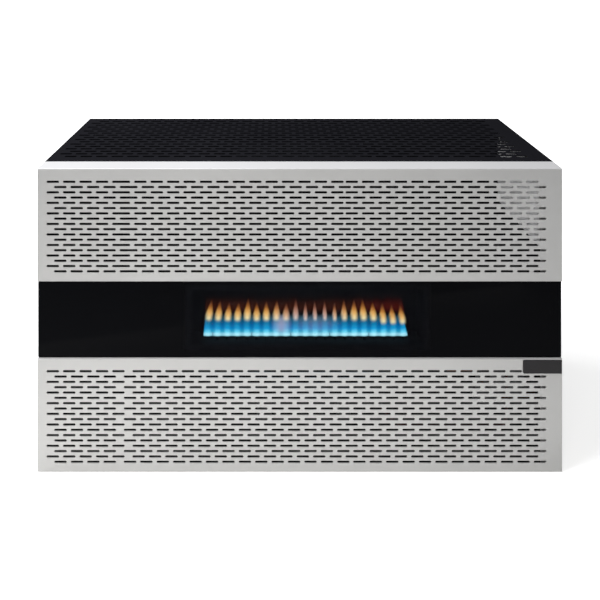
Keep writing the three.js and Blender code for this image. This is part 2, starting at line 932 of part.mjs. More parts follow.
function addPlunger() {
  const shape = circle(new THREE.Shape(), controlY, knobHeight, plungerRadius);
  shape.holes.push(circle(new THREE.Path(), controlY, knobHeight, spindleRadius + fit));
  const start = valveRight - plungerLength + plungerStand;
  add('valve_plunger', extrude('x', shape, start, start + plungerLength, smallSegments), brass);
}

// A round section with one flat, centred on the knob's axis.
function flattedCircle(path, radius, flat) {
  const angle = Math.acos(flat / radius);
  path.absarc(controlY, knobHeight, radius, Math.PI / 2 + angle, 2.5 * Math.PI - angle, false);
  path.closePath();
  return path;
}

function addKnob() {
  const round = bar('x', controlY, knobHeight, spindleRadius, spindleStart, knobBaseX, 2 * smallSegments);
  const section = flattedCircle(new THREE.Shape(), spindleRadius, spindleFlat);
  const flatted = extrude('x', section, knobBaseX - overrun, spindleEnd, smallSegments);
  add('valve_spindle', join(round, flatted), zincSteel);

  const body = join(
    bar('x', controlY, knobHeight, knobRadius, knobBaseX, knobBaseX + knobSkirt),
    bar('x', controlY, knobHeight, knobGripRadius, knobBaseX, knobBaseX + knobLength),
  );
  const bore = flattedCircle(new THREE.Shape(), spindleRadius + fit, spindleFlat + fit);
  const boreEnd = spindleEnd + fit;
  const wing = knobWebThickness / 2;
  const gripStart = knobBaseX + knobSkirt;
  const gripEnd = knobBaseX + knobLength + overrun;
  const scoop = (y0, y1) => box(gripStart, gripEnd, y0, y1, knobHeight, knobHeight + knobRadius);
  add(
    'control_knob',
    cut(
      body,
      extrude('x', bore, knobBaseX - overrun, boreEnd, smallSegments),
      scoop(controlY - knobRadius, controlY - wing - spindleRadius),
      scoop(controlY + wing + spindleRadius, controlY + knobRadius),
    ),
    blackPlastic,
  );
}

// A flat plate on the casing's side, round the knob and the igniter.
function addControlPlate() {
  const margin = knobRadius + controlPlateMargin;
  const shape = rectangle(
    new THREE.Shape(),
    controlY - margin,
    controlY + margin,
    knobHeight - margin,
    igniterHeight + margin,
  );
  const plate = extrude('x', shape, halfWidth, halfWidth + controlPlateThickness);
  const holes = [
    sideHole(knobHeight, spindleRadius + plungerRoom),
    sideHole(igniterHeight, igniterNeckRadius + fit),
  ];
  add('control_plate', cut(plate, ...holes), plateBlack);
}

// Push-button spark igniter: body inside, neck through the side, nut outside, sliding button.
const igniterFaceX = innerHalf - fit;
const igniterMouthX = halfWidth + controlPlateThickness + igniterNutThickness;
const buttonEndX = igniterMouthX + buttonStand;
const igniterBackX = igniterFaceX - igniterLength;
const buttonStartX = igniterFaceX - igniterRecess;

function addIgniter() {
  const body = join(
    bar('x', controlY, igniterHeight, igniterRadius, igniterBackX, igniterFaceX),
    bar('x', controlY, igniterHeight, igniterNeckRadius, igniterFaceX - overrun, igniterMouthX),
  );
  const boreStart = buttonStartX - buttonTravel - plungerRoom;
  const boreRadius = buttonRadius + fit;
  const bore = bar('x', controlY, igniterHeight, boreRadius, boreStart, igniterMouthX + overrun);
  add('igniter_body', cut(body, bore), blackPlastic);

  const dome = buttonRadius / 2;
  const button = turned([
    [0, 0],
    [buttonRadius, 0],
    [buttonRadius, buttonEndX - buttonStartX - dome],
    [buttonRadius - dome, buttonEndX - buttonStartX],
    [0, buttonEndX - buttonStartX],
  ]);
  button.rotateY(Math.PI / 2);
  const buttonMesh = add('igniter_button', surface(solid(button)), redPlastic);
  buttonMesh.position.set(buttonStartX, controlY, igniterHeight);

  const nutShape = hexagon(igniterNut);
  nutShape.holes.push(circle(new THREE.Path(), 0, 0, igniterNeckRadius + fit));
  const nut = extrude('x', nutShape, 0, igniterNutThickness, smallSegments / 2);
  const nutX = halfWidth + controlPlateThickness;
  add('igniter_nut', nut, zincSteel).position.set(nutX, controlY, igniterHeight);
}

// The supply pipe drops from the valve and leaves through the side to its union.
function addInlet() {
  const x = (valveLeft + valveRight) / 2;
  const unionStart = halfWidth;
  const route = [
    new THREE.Vector3(x, controlY, valveBottom - fit),
    new THREE.Vector3(x, controlY, inletHeight),
    new THREE.Vector3(unionStart + unionLength / 2, controlY, inletHeight),
  ];
  add('gas_inlet_pipe', pipe(route, inletRadius), copper);
  const socket = bar('x', 0, 0, inletRadius + fit, -overrun, unionLength / 2 + fit, pipeSegments);
  const mouth = bar('x', 0, 0, unionWallRadius, unionLength / 2 + inletRadius / 2, unionLength + overrun);
  const union = cut(extrude('x', hexagon(unionRadius), 0, unionLength), socket, mouth);
  add('gas_inlet_union', union, brass).position.set(unionStart, controlY, inletHeight);
}

// The burner pipe and the thin lines between the control end and the pilot group.
function addPipes() {
  const feedY = (burnerY + controlY) / 2;
  const middleX = (injectorEnd + valveLeft) / 2;
  add('burner_pipe', pipe([
    new THREE.Vector3(injectorEnd + fit, burnerY, burnerMiddle),
    new THREE.Vector3(middleX, burnerY, burnerMiddle),
    new THREE.Vector3(middleX, feedY, knobHeight),
    new THREE.Vector3(valveLeft - fit, feedY, knobHeight),
  ], feedPipeRadius), copper);

  const stemEnd = pilotShelfTop - pilotSheet - pilotStem - fit;
  const lineTo = (x, lane, ...rest) => [
    new THREE.Vector3(x, pilotY, stemEnd),
    new THREE.Vector3(x, pilotY, lane),
    ...rest,
  ];
  const portX = valveLeft + bendRadius / 2;
  add('pilot_pipe', pipe(lineTo(
    pilotX,
    pilotPipeLane,
    new THREE.Vector3(portX, pilotY, pilotPipeLane),
    new THREE.Vector3(portX, pilotY, valveBottom - fit),
  ), pilotPipeRadius), copper);
  add('thermocouple_lead', pipe(lineTo(
    thermocoupleX,
    thermocoupleLane,
    new THREE.Vector3(valveLeft - fit, pilotY, thermocoupleLane),
  ), thermocoupleLeadRadius), copper);

  const sparkY = valveFrontY - bendRadius / 2;
  const sparkX = igniterBackX - bendRadius;
  add('spark_lead', pipe(lineTo(
    electrodeX,
    sparkLane,
    new THREE.Vector3(electrodeX + 2 * bendRadius, sparkY, sparkLane),
    new THREE.Vector3(sparkX, sparkY, sparkLane),
    new THREE.Vector3(sparkX, sparkY, igniterHeight),
    new THREE.Vector3(sparkX, controlY, igniterHeight),
    new THREE.Vector3(igniterBackX - fit, controlY, igniterHeight),
  ), sparkLeadRadius), leadSleeve);
}

// The duct joins the air collar to the slot in the chamber's back, round the flue pipe.
function addAirBox() {
  const outer = box(airBoxLeft, airBoxRight, panBackY, innerBackY, airBoxBottom, airBoxTop);
  const inner = box(
    airBoxLeft + sheet,
    airBoxRight - sheet,
    panBackY + sheet,
    innerBackY + overrun,
    airBoxBottom + sheet,
    airBoxTop - sheet,
  );
  const [start, end] = [panBackY - overrun, panBackY + overrun];
  const flueHole = bar('y', chamberShift, flueHeight, flueRadius + fit, start, end);
  add('air_box', cut(outer, inner, flueHole, airSlot(start, end)), galvanised);
}

// A plain tube along Y round the flue's axis.
function flueTube(radius, from, to) {
  const shape = circle(new THREE.Shape(), chamberShift, flueHeight, radius);
  shape.holes.push(circle(new THREE.Path(), chamberShift, flueHeight, radius - tubeWall));
  return extrude('y', shape, from, to);
}

function addFlue() {
  add('flue_pipe', flueTube(flueRadius, panBackY - sheet, backY + flueReach), stainless);
  add('air_collar', flueTube(collarRadius, innerBackY, backY + collarReach), galvanised);
}

// Channel rails on the back; the wall screws pass through the upper one's two holes.
function addRail(name, top) {
  const bottom = top - railHeight;
  const outline = polygon([
    [backY, bottom],
    [wallY, bottom],
    [wallY, top],
    [backY, top],
    [backY, top - railSheet],
    [wallY - railSheet, top - railSheet],
    [wallY - railSheet, bottom + railSheet],
    [backY, bottom + railSheet],
  ]);
  const rail = extrude('x', outline, -railLength / 2, railLength / 2);
  const middle = (bottom + top) / 2;
  const holes = [-1, 1].map((side) => {
    const x = side * (railLength / 2 - railHoleInset);
    return bar('y', x, middle, railHoleRadius, wallY - railSheet - overrun, wallY + overrun, smallSegments);
  });
  add(name, cut(rail, ...holes), galvanised);
}

function addRails() {
  addRail('upper_wall_rail', upperRailTop);
  addRail('lower_wall_rail', lowerRailTop);
}

// A pan-head screw whose head sits on the sheet at height zero and points up +Z.
function screw() {
  const bevel = screwHeadHeight / 2;
  return surface(solid(turned([
    [0, -screwShankLength],
    [screwShankRadius, -screwShankLength],
    [screwShankRadius, 0],
    [screwHeadRadius, 0],
    [screwHeadRadius, screwHeadHeight - bevel],
    [screwHeadRadius - bevel, screwHeadHeight],
    [0, screwHeadHeight],
  ], screwSegments)));
}

function addScrews() {
  const levels = { lower: panelHeight / 2, upper: bandTop + panelHeight / 2 };
  for (const [level, height] of Object.entries(levels)) {
    for (const [side, sign] of [['left', -1], ['right', 1]]) {
      const mesh = add(`${side}_${level}_panel_screw`, screw(), zincSteel);
      mesh.rotation.y = (sign * Math.PI) / 2;
      mesh.position.set(sign * halfWidth, panelScrewY, height);
    }
  }
  const backLevels = { lower: backScrewHeights[0], upper: backScrewHeights[1] };
  for (const [level, height] of Object.entries(backLevels)) {
    for (const [side, sign] of [['left', -1], ['right', 1]]) {
      const mesh = add(`${side}_${level}_back_screw`, screw(), zincSteel);
      mesh.rotation.x = -Math.PI / 2;
      mesh.position.set(sign * backScrewX, backY, height);
    }
  }
}

addFrontPanels();
addDeck();
addSides();
addBackAndBase();
addGlassBand();
addPosts();
addBadge();
addChamber();
addLegs();
addBaffle();
addBurner();
addBurnerBrackets();
addMixingTube();
addPilotGroup();
addLiner();
addValve();
addPlunger();
addKnob();
addControlPlate();
addIgniter();
addInlet();
addPipes();
addAirBox();
addFlue();
addRails();
addScrews();

export default heater;
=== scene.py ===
"""Room-sealed gas heater: folded perforated casing, black glass band and a row of live flames."""
import math
from functools import partial

import bmesh
import bpy
from mathutils import Matrix, Vector


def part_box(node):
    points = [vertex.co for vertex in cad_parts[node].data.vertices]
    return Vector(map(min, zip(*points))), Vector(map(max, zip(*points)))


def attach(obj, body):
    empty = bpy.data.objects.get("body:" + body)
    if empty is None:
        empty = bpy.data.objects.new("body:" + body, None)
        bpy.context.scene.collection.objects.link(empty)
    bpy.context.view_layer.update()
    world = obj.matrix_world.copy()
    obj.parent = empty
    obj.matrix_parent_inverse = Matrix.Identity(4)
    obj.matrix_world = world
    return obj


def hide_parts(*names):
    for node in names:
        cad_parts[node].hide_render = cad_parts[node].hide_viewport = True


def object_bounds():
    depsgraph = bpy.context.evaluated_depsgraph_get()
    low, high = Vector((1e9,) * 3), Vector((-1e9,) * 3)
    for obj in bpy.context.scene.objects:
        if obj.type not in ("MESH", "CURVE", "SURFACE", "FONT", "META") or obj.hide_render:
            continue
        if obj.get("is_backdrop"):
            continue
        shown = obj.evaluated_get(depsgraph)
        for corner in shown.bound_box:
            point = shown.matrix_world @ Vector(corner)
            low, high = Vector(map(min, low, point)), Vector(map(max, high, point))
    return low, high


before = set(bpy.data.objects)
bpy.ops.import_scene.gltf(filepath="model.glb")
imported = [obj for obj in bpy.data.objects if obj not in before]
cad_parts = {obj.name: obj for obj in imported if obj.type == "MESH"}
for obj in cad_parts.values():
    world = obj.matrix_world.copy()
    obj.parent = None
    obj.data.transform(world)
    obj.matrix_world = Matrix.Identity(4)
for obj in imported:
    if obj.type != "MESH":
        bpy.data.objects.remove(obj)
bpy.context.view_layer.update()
scene = bpy.context.scene
scene.view_settings.view_transform = "Standard"
mm = 0.001

# CAMERA
# A level view from well above the casing. The frame is shifted down instead of tilting the
# camera, which keeps the casing's front a true rectangle.
lens = bpy.data.cameras.new("level_view")
lens.sensor_width = 36
lens.lens = 24.55
lens.shift_x = 0.043
lens.shift_y = -0.5919
camera = bpy.data.objects.new("level_view", lens)
camera.location = (-39 * mm, -713 * mm, 803 * mm)
camera.rotation_euler = (math.pi / 2, 0, 0)
scene.collection.objects.link(camera)
scene.camera = camera


# STUDIO
# Pale floor under a large overhead softbox on the left, a warm one in front and a strip light
# near the floor. What the camera sees of the room, straight or through clear glass, is white.
def linear(hex_colour):
    """The linear RGBA of an sRGB hex colour."""
    parts = [int(hex_colour[i:i + 2], 16) / 255 for i in (1, 3, 5)]
    return tuple(c / 12.92 if c <= 0.04045 else ((c + 0.055) / 1.055) ** 2.4 for c in parts) + (1,)


def add_node(tree, kind, *inputs, ramp=None, **settings):
    """Adds a node with its settings; a kind in capitals is the operation of a Math node.

    Inputs follow the order of the sockets in use, or are named in a dict. Each is a value, a
    socket to link from, a node, whose first output in use is linked, or a list of nodes. A
    colour ramp takes its stops as a dict of place and colour.
    """
    if kind.isupper():
        kind, settings["operation"] = "Math", kind
    prefixes = ("ShaderNode", "GeometryNode", "FunctionNode", "Node")
    made = tree.nodes.new(next(p for p in prefixes if hasattr(bpy.types, p + kind)) + kind)
    for number, (spot, shade) in enumerate((ramp or {}).items()):
        stops = made.color_ramp.elements
        stop = stops[number] if number < 2 else stops.new(spot)
        stop.position, stop.color = spot, linear(shade)
    for key, value in settings.items():
        setattr(made, key, value)
    sockets = [s for s in made.inputs if s.enabled]
    by_name = {s.name: s for s in reversed(sockets)}
    for index, value in enumerate(inputs):
        for name, given in value.items() if isinstance(value, dict) else [(None, value)]:
            socket = sockets[index] if name is None else by_name[name]
            for source in given if isinstance(given, list) else [given]:
                if isinstance(source, bpy.types.Node):
                    source = next(s for s in source.outputs if s.enabled)
                if isinstance(source, bpy.types.NodeSocket):
                    tree.links.new(source, socket)
                else:
                    socket.default_value = source
    return made


def new_finish(name):
    """An empty material, the function that adds its nodes, and its Object coordinates."""
    finish = bpy.data.materials.new(name)
    finish.use_nodes = True
    finish.node_tree.nodes.clear()
    add = partial(add_node, finish.node_tree)
    return finish, add, add("TexCoord").outputs["Object"]


def seen_white(add):
    """1 for what the camera sees, also through clear glass, and 0 for the light on things."""
    path = add("LightPath").outputs
    return add("MAXIMUM", path["Is Camera Ray"], path["Is Transmission Ray"])


def piece(name, mesh, finish=None):
    """An object at the origin that shows a mesh, or the mesh of a bmesh, in this finish."""
    if isinstance(mesh, bmesh.types.BMesh):
        skin, mesh = mesh, bpy.data.meshes.new(name)
        skin.to_mesh(mesh)
        skin.free()
    mesh.name = name
    if finish:
        mesh.materials.clear()
        mesh.materials.append(finish)
    shown = bpy.data.objects.new(name, mesh)
    scene.collection.objects.link(shown)
    return shown


smooth = {"interpolation_type": "SMOOTHSTEP"}
white = linear("#FFFFFF")
room = bpy.data.worlds.new("studio_room")
room.use_nodes = True
room.node_tree.nodes.clear()
add = partial(add_node, room.node_tree)
air = add("Background", linear("#F6F7FA"), 0.24)
add("OutputWorld", add("MixShader", seen_white(add), air, add("Background", white, 1.0)))
scene.world = room

floor_paint, add, place = new_finish("studio_floor_matt_white")
matt = add("BsdfDiffuse", linear("#E6E6E4"))
away = add("VectorMath", place, operation="LENGTH")
lift = add("Emission", white, add("MapRange", away, 0.5, 1.5, 0.68, 1.0, **smooth))
add("OutputMaterial", add("MixShader", seen_white(add), matt, add("AddShader", matt, lift)))

floor_mesh = bpy.data.meshes.new("studio_floor")
floor_mesh.from_pydata([(-6, -5, 0), (6, -5, 0), (6, 7, 0), (-6, 7, 0)], [], [(0, 1, 2, 3)])
studio_floor = piece("studio_floor", floor_mesh, floor_paint)
studio_floor.location.z = -0.2 * mm
studio_floor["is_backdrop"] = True

aim = Vector((0, 0, 120 * mm))
for name, spot, width, height, power, colour in (
    ("overhead_softbox", (-0.75, -0.1, 2.1), 0.8, 0.8, 57, "#FBFBFF"),
    ("front_softbox", (-0.25, -0.95, 0.5), 0.6, 0.3, 2.85, "#FFFDF8"),
    ("strip_light", (-0.05, -0.36, 0.03), 1.2, 0.05, 0.6, "#FFFDF8"),
):
    lamp = bpy.data.lights.new(name, "AREA")
    lamp.shape = "RECTANGLE"
    lamp.size = width
    lamp.size_y = height
    lamp.energy = power
    lamp.color = linear(colour)[:3]
    softbox = bpy.data.objects.new(name, lamp)
    softbox.location = spot
    softbox.rotation_euler = (aim - Vector(spot)).to_track_quat("-Z", "Y").to_euler()
    softbox.visible_camera = False
    softbox.visible_glossy = name == "overhead_softbox"
    scene.collection.objects.link(softbox)


# FRONT PANELS
# Two trays folded from perforated sheet steel, 1 mm thick, bent round a 1.2 mm radius and
# mitred at the corners. They are powder coated in satin silver with fine aluminium flake.
def baked(shown):
    """The mesh of an object with its modifiers applied."""
    return bpy.data.meshes.new_from_object(shown.evaluated_get(bpy.context.evaluated_depsgraph_get()))


def grown(name, build, points=None, **values):
    """The plain mesh of a Geometry Nodes tree, which build makes at its first use.

    The values are its inputs by name; in later uses, one left out is 0.
    """
    tree = bpy.data.node_groups.get(build.__name__)
    if not tree:
        tree = bpy.data.node_groups.new(build.__name__, "GeometryNodeTree")
        tree.interface.new_socket("Shape", in_out="OUTPUT", socket_type="NodeSocketGeometry")
        tree.interface.new_socket("Points", in_out="INPUT", socket_type="NodeSocketGeometry")
        for label, value in values.items():
            kind = {float: "Float", int: "Int"}.get(type(value), "Material")
            tree.interface.new_socket(label, in_out="INPUT", socket_type="NodeSocket" + kind)
        add = partial(add_node, tree)
        given = add("GroupInput").outputs
        shape = build(add, **{label: given[label] for label in values if label != "finish"})
        add("GroupOutput", add("SetMaterial", add("RealizeInstances", shape), {"Material": given["finish"]}))
    carrier = bpy.data.objects.new(name, points or bpy.data.meshes.new(name))
    scene.collection.objects.link(carrier)
    modifier = carrier.modifiers.new(name, "NODES")
    modifier.node_group = tree
    for item in tree.interface.items_tree:
        if item.name in values:
            modifier[item.identifier] = values[item.name]
    mesh = baked(carrier)
    bpy.data.objects.remove(carrier)
    return mesh


def punched_blank(add, width, height, first_x, first_y, pitch, row_pitch, row_shift, slot_length, slot_height,
                  join_step, longer_slot, late_step, columns, rows, join_column, early_column, late_column):
    """Punches staggered rows of round-ended slots in a flat blank in XY round the origin.

    The sheet is punched in two strokes: from the column where they join, the slots stand further
    on, and the slot before it can be longer.
    """
    count = add("MULTIPLY", columns, rows)
    points = add("MeshLine", {"Count": count, "Offset": (0, 0, 0)})
    index = add("ADD", add("InputIndex"), 0.5)
    row = add("FLOOR", add("DIVIDE", index, columns))
    column = add("FLOORED_MODULO", index, columns)
    odd = add("FLOORED_MODULO", row, 2.0)
    join = add("SUBTRACT", join_column, add("MULTIPLY", odd, early_column))
    past = add("GREATER_THAN", column, join)
    late = add("GREATER_THAN", column, late_column)
    longer = add("COMPARE", column, add("SUBTRACT", join, 0.5), 0.2)
    half_extra = add("MULTIPLY", longer_slot, 0.5)
    x = add("MULTIPLY_ADD", add("FLOOR", column), pitch, first_x)
    for factor, reach in ((odd, row_shift), (past, join_step), (late, late_step), (longer, half_extra)):
        x = add("MULTIPLY_ADD", factor, reach, x)
    y = add("SUBTRACT", first_y, add("MULTIPLY", row, row_pitch))
    spread = add("SetPosition", points, {"Position": add("CombineXYZ", x, y)})
    rounding = add("MULTIPLY", slot_height, 0.48)
    outlines = []
    for extra, chosen in ((0.0, add("SUBTRACT", 1.0, longer)), (longer_slot, longer)):
        length = add("ADD", slot_length, extra)
        slot = add("CurvePrimitiveQuadrilateral", length, slot_height)
        ends = add("FilletCurve", slot, {"Count": 4, "Radius": rounding, "Limit Radius": True}, mode="POLY")
        outlines.append(add("InstanceOnPoints", spread, chosen, ends))
    outlines.append(add("CurvePrimitiveQuadrilateral", width, height))
    loose = add("RealizeInstances", add("JoinGeometry", outlines))
    return add("FillCurve", loose, mode="TRIANGLES")


def settled(shown, kind=None, angle=35, **settings):
    """Applies one modifier, if any, then shades the bends smooth and the corners sharp."""
    if kind:
        modifier = shown.modifiers.new(kind.lower(), kind)
        for key, value in settings.items():
            setattr(modifier, key, value)
    for last in (False, True):
        mesh = baked(shown)
        shown.modifiers.clear()
        shown.data = mesh
        mesh.name = shown.name
        if not last:
            mesh.shade_smooth()
            mesh.set_sharp_from_angle(angle=math.radians(angle))
            shown.modifiers.new("flat faces stay flat", "WEIGHTED_NORMAL").keep_sharp = True
    return shown


def carry(shown, slot, *nodes, body="heater"):
    """The piece rides on a body and stands for these CAD nodes, which it hides; its slot is not used."""
    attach(shown, body)
    if nodes:
        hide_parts(*nodes)
    return shown


def surface(add, tone, shades, gloss, bump, specular=0.5, metallic=0.0, coat=0.0):
    """Ends a material: tone mixes two shades, and bump is a strength, a depth in mm and a height."""
    colour = add("Mix", tone, linear(shades[0]), linear(shades[1]), data_type="RGBA")
    relief = add("Bump", {"Strength": bump[0], "Distance": bump[1] * mm, "Height": bump[2]})
    add("OutputMaterial", add("BsdfPrincipled", {
        "Base Color": colour, "Metallic": metallic, "Roughness": gloss, "Specular IOR Level": specular,
        "Coat Weight": coat, "Coat Roughness": 0.08, "Normal": relief}))


def powder_coat(name, shades, metallic, roughness, specular, fleck):
    """Baked powder coat: orange peel 3 mm wide, a fine grain and soft clouds of shade.

    The real grain is under 0.2 mm and is drawn at 0.8 mm, so that it shows.
    """
    paint, add, place = new_finish(name)
    cloud = add("TexNoise", place, 9.0, 3.0)
    grain = add("TexNoise", place, 1 / (0.8 * mm), 2.0)
    peel = add("TexNoise", place, 1 / (3 * mm), 1.0)
    tone = add("MULTIPLY_ADD", grain, fleck, cloud)
    tone = add("MapRange", tone, 0.3 + 0.3 * fleck, 0.7 + 0.7 * fleck)
    gloss = add("MapRange", grain, 0.3, 0.7, roughness - 0.05, roughness + 0.05)
    surface(add, tone, shades, gloss, (0.5, 0.06, add("MULTIPLY_ADD", grain, 0.35, peel)), specular, metallic)
    return paint


silver_powder_coat = powder_coat("silver_flake_powder_coat", ("#B9B9B8", "#BFBFBE"), 0.12, 0.5, 0.3, 0.5)
sheet = 1.0 * mm
bend = 1.2 * mm
slots = {"columns": 30, "rows": 18, "slot_length": 19.2 * mm, "slot_height": 3.75 * mm}
same_place = 1e-6


def folded_skin(x, y, z, bottom_depth, top_depth):
    """Outer skin of a tray folded back round its front; x, y and z are (low, high).

    Its front edges follow the bend, and its flat front is left open for the punched blank.
    """
    skin = bmesh.new()
    (x0, x1), (y0, y1), (z0, z1) = x, y, z
    low, high = y0 + bottom_depth, y0 + top_depth
    faces = (
        [(x0, y0, z0), (x1, y0, z0), (x1, y0, z1), (x0, y0, z1)],
        [(x0, y0, z0), (x0, low, z0), (x1, low, z0), (x1, y0, z0)],
        [(x0, y0, z1), (x1, y0, z1), (x1, high, z1), (x0, high, z1)],
        [(x0, y0, z0), (x0, y0, z1), (x0, high, z1), (x0, y1, z1), (x0, y1, z0), (x0, low, z0)],
        [(x1, y0, z0), (x1, low, z0), (x1, y1, z0), (x1, y1, z1), (x1, high, z1), (x1, y0, z1)],
    )
    for corners in faces:
        skin.faces.new([skin.verts.new(corner) for corner in dict.fromkeys(corners)])
    bmesh.ops.remove_doubles(skin, verts=skin.verts, dist=same_place)

    def in_front(part):
        return all(abs(v.co.y - y0) < same_place for v in part.verts)

    bmesh.ops.bevel(skin, geom=[e for e in skin.edges if in_front(e)], offset=bend, offset_type="OFFSET",
                    segments=7, profile=0.5, affect="EDGES")
    flat = max((f for f in skin.faces if in_front(f)), key=lambda f: f.calc_area())
    bmesh.ops.delete(skin, geom=[flat], context="FACES_ONLY")
    return skin


def front_panel(name, node, top_depth, bottom_depth, first_row, **pattern):
    """A perforated tray; first_row is the height of the top row's middle."""
    low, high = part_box(node)
    middle = (low + high) / 2
    blank = grown(name, punched_blank, width=high.x - low.x - 2 * bend, height=high.z - low.z - 2 * bend,
                  first_x=low.x + 14.2 * mm + slots["slot_length"] / 2, first_y=first_row - middle.z,
                  pitch=25.0 * mm, join_column=5, late_column=18, finish=silver_powder_coat,
                  **slots, **pattern)
    upright = Matrix.Rotation(math.pi / 2, 4, "X")
    blank.transform(Matrix.Translation((middle.x, low.y, middle.z)) @ upright)
    skin = folded_skin((low.x, high.x), (low.y, high.y), (low.z, high.z), bottom_depth, top_depth)
    skin.from_mesh(blank)
    bmesh.ops.remove_doubles(skin, verts=skin.verts, dist=20 * same_place)
    for face in skin.faces:
        if face.normal.dot(face.calc_center_median() - middle) < 0:
            face.normal_flip()
    shown = settled(piece(name, skin, silver_powder_coat), "SOLIDIFY", thickness=sheet, offset=-1,
                    use_even_offset=True)
    carry(shown, "silver_paint", node)


cover_depth = 21 * mm
tucked_depth = 6.5 * mm
front_panel("upper_panel", "upper_front_panel", cover_depth, tucked_depth, 442.1 * mm,
            row_pitch=8.02 * mm, row_shift=11.4 * mm, join_step=8.4 * mm, longer_slot=8.2 * mm,
            early_column=0, late_step=-3.0 * mm)
front_panel("lower_panel", "lower_front_panel", tucked_depth, tucked_depth, 153.6 * mm,
            row_pitch=8.11 * mm, row_shift=11.8 * mm, join_step=5.8 * mm, early_column=1,
            late_step=-0.6 * mm)


# DECK
# Flat perforated sheet steel that lies on the side and back plates behind the upper panel's
# flange. It is powder coated in dead matt black, which reflects next to nothing.
matt_powder_coat = powder_coat("black_dead_matt_powder_coat", ("#141417", "#19191C"), 0.0, 0.8, 0.01, 0.6)
low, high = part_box("top_deck")
middle = (low + high) / 2
blank = grown("deck", punched_blank, width=high.x - low.x, height=high.y - low.y,
              first_x=low.x + 11.8 * mm + slots["slot_length"] / 2, first_y=85.4 * mm - middle.y,
              pitch=25.05 * mm, row_pitch=8.16 * mm, row_shift=11.7 * mm, finish=matt_powder_coat, **slots)
blank.transform(Matrix.Translation((middle.x, middle.y, high.z)))
deck = settled(piece("deck", blank, matt_powder_coat), "SOLIDIFY", thickness=sheet, offset=-1)
carry(deck, "black_paint", "top_deck")


# CASING PLATES AND POSTS
# Sides, back, base and the channel posts behind the glass: folded sheet steel with deburred
# edges, in black powder coat with a fine texture. The sides are screwed to the back.
black_powder_coat = powder_coat("black_fine_texture_powder_coat", ("#0F0F11", "#161618"), 0.0, 0.6, 0.12, 0.6)


def softened(name, node, finish, slot, body="heater", radius=0.4 * mm, segments=2, angle=35):
    """A copy of a CAD node with its facets joined and its sharp edges rounded off."""
    skin = bmesh.new()
    skin.from_mesh(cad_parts[node].data)
    bmesh.ops.remove_doubles(skin, verts=skin.verts, dist=same_place)
    bmesh.ops.dissolve_limit(skin, angle_limit=math.radians(0.5), verts=skin.verts, edges=skin.edges)
    shown = settled(piece(name, skin, finish), "BEVEL", width=radius, segments=segments,
                    limit_method="ANGLE", angle_limit=math.radians(angle))
    return carry(shown, slot, node, body=body)


for name, node in (("left_side", "left_side_plate"), ("right_side", "right_side_plate"),
                   ("back", "back_plate"), ("base", "base_plate"), ("left_post", "left_front_post")):
    softened(name, node, black_powder_coat, "black_paint")
right_post = softened("right_post", "right_front_post", black_powder_coat, "black_paint")


# LINER
# Galvanised sheet inside the right-hand end, behind the grilles, that keeps the warm air off
# the side plate. Its zinc shows soft spangles about 9 mm across; its back wing is black, as painted shade.
def zinc_coat(name, shades, metallic):
    """Hot-dip zinc: flat crystals, each of its own shade and gloss, with a faint grain."""
    metal, add, place = new_finish(name)
    wander = add("TexNoise", place, 2 / spangle, 2.0)
    bent = add("Mix", 0.006, place, wander.outputs["Color"], data_type="VECTOR")
    crystals = add("TexVoronoi", bent, 1 / spangle)
    shade = add("SeparateColor", crystals.outputs["Color"])
    fine = add("TexNoise", place, 1 / (1.2 * mm), 2.0)
    tone = add("MULTIPLY_ADD", fine, 0.3, shade)
    gloss = add("MapRange", shade.outputs[1], 0.0, 1.0, 0.32, 0.5)
    surface(add, tone, shades, gloss, (0.4, 0.03, tone), metallic=metallic)
    return metal


spangle = 9 * mm
galvanised_steel = zinc_coat("galvanised_spangled_steel", ("#9DA1A4", "#C6CACC"), 0.75)
new_zinc = zinc_coat("galvanised_bright_steel", ("#E8E8E8", "#F8F8F6"), 0.0)
liner = softened("end_liner", "heat_liner", new_zinc, "galvanised", radius=0.3 * mm)
# The back wing's faces take the dead matt black coat: painted shade inside the right-hand end.
liner.data.materials.append(matt_powder_coat)
painted_shade_from_y = 80 * mm
for face in liner.data.polygons:
    if face.center.y > painted_shade_from_y:
        face.material_index = 1

# The right post's front flange is bare zinc too, where the panels cover it.
right_post.data.materials.append(new_zinc)
for face in right_post.data.polygons:
    if face.normal.y < -0.99:
        face.material_index = 1


# GLASS BAND
# One pane of 4 mm toughened glass between the panels, with polished edges. Black ceramic ink is
# fired on its back, but for a smoke-tinted window in front of the flames, where the ink fades out.
def printed_glass():
    """Near-black and glossy. The window lets three quarters of the light through each face."""
    glass, add, place = new_finish("black_printed_toughened_glass")
    at = add("SeparateXYZ", place).outputs
    fade = 18 * mm
    edges = []
    for axis, start, end in (("X", -178 * mm, 202 * mm), ("Z", 179 * mm, 288 * mm)):
        away = add("ABSOLUTE", add("SUBTRACT", at[axis], (start + end) / 2))
        edges.append(add("MapRange", away, (end - start) / 2 - fade, (end - start) / 2, **smooth))
    ink = add("MAXIMUM", *edges)
    haze = add("TexNoise", place, 6.0, 2.0)
    black = add("Mix", haze, linear("#040406"), linear("#06070A"), data_type="RGBA")
    colour = add("Mix", ink, linear("#16171C"), black, data_type="RGBA")
    smears = add("TexNoise", place, 40.0, 4.0, {"Distortion": 1.5})
    gloss = add("MapRange", smears, 0.35, 0.8, 0.03, 0.09)
    window_film = 0.24
    cover = add("MapRange", ink, 0.0, 1.0, window_film, 1.0)
    skin = {"Base Color": colour, "Roughness": gloss, "Specular IOR Level": 0.018, "Alpha": cover}
    add("OutputMaterial", add("BsdfPrincipled", skin))
    return glass


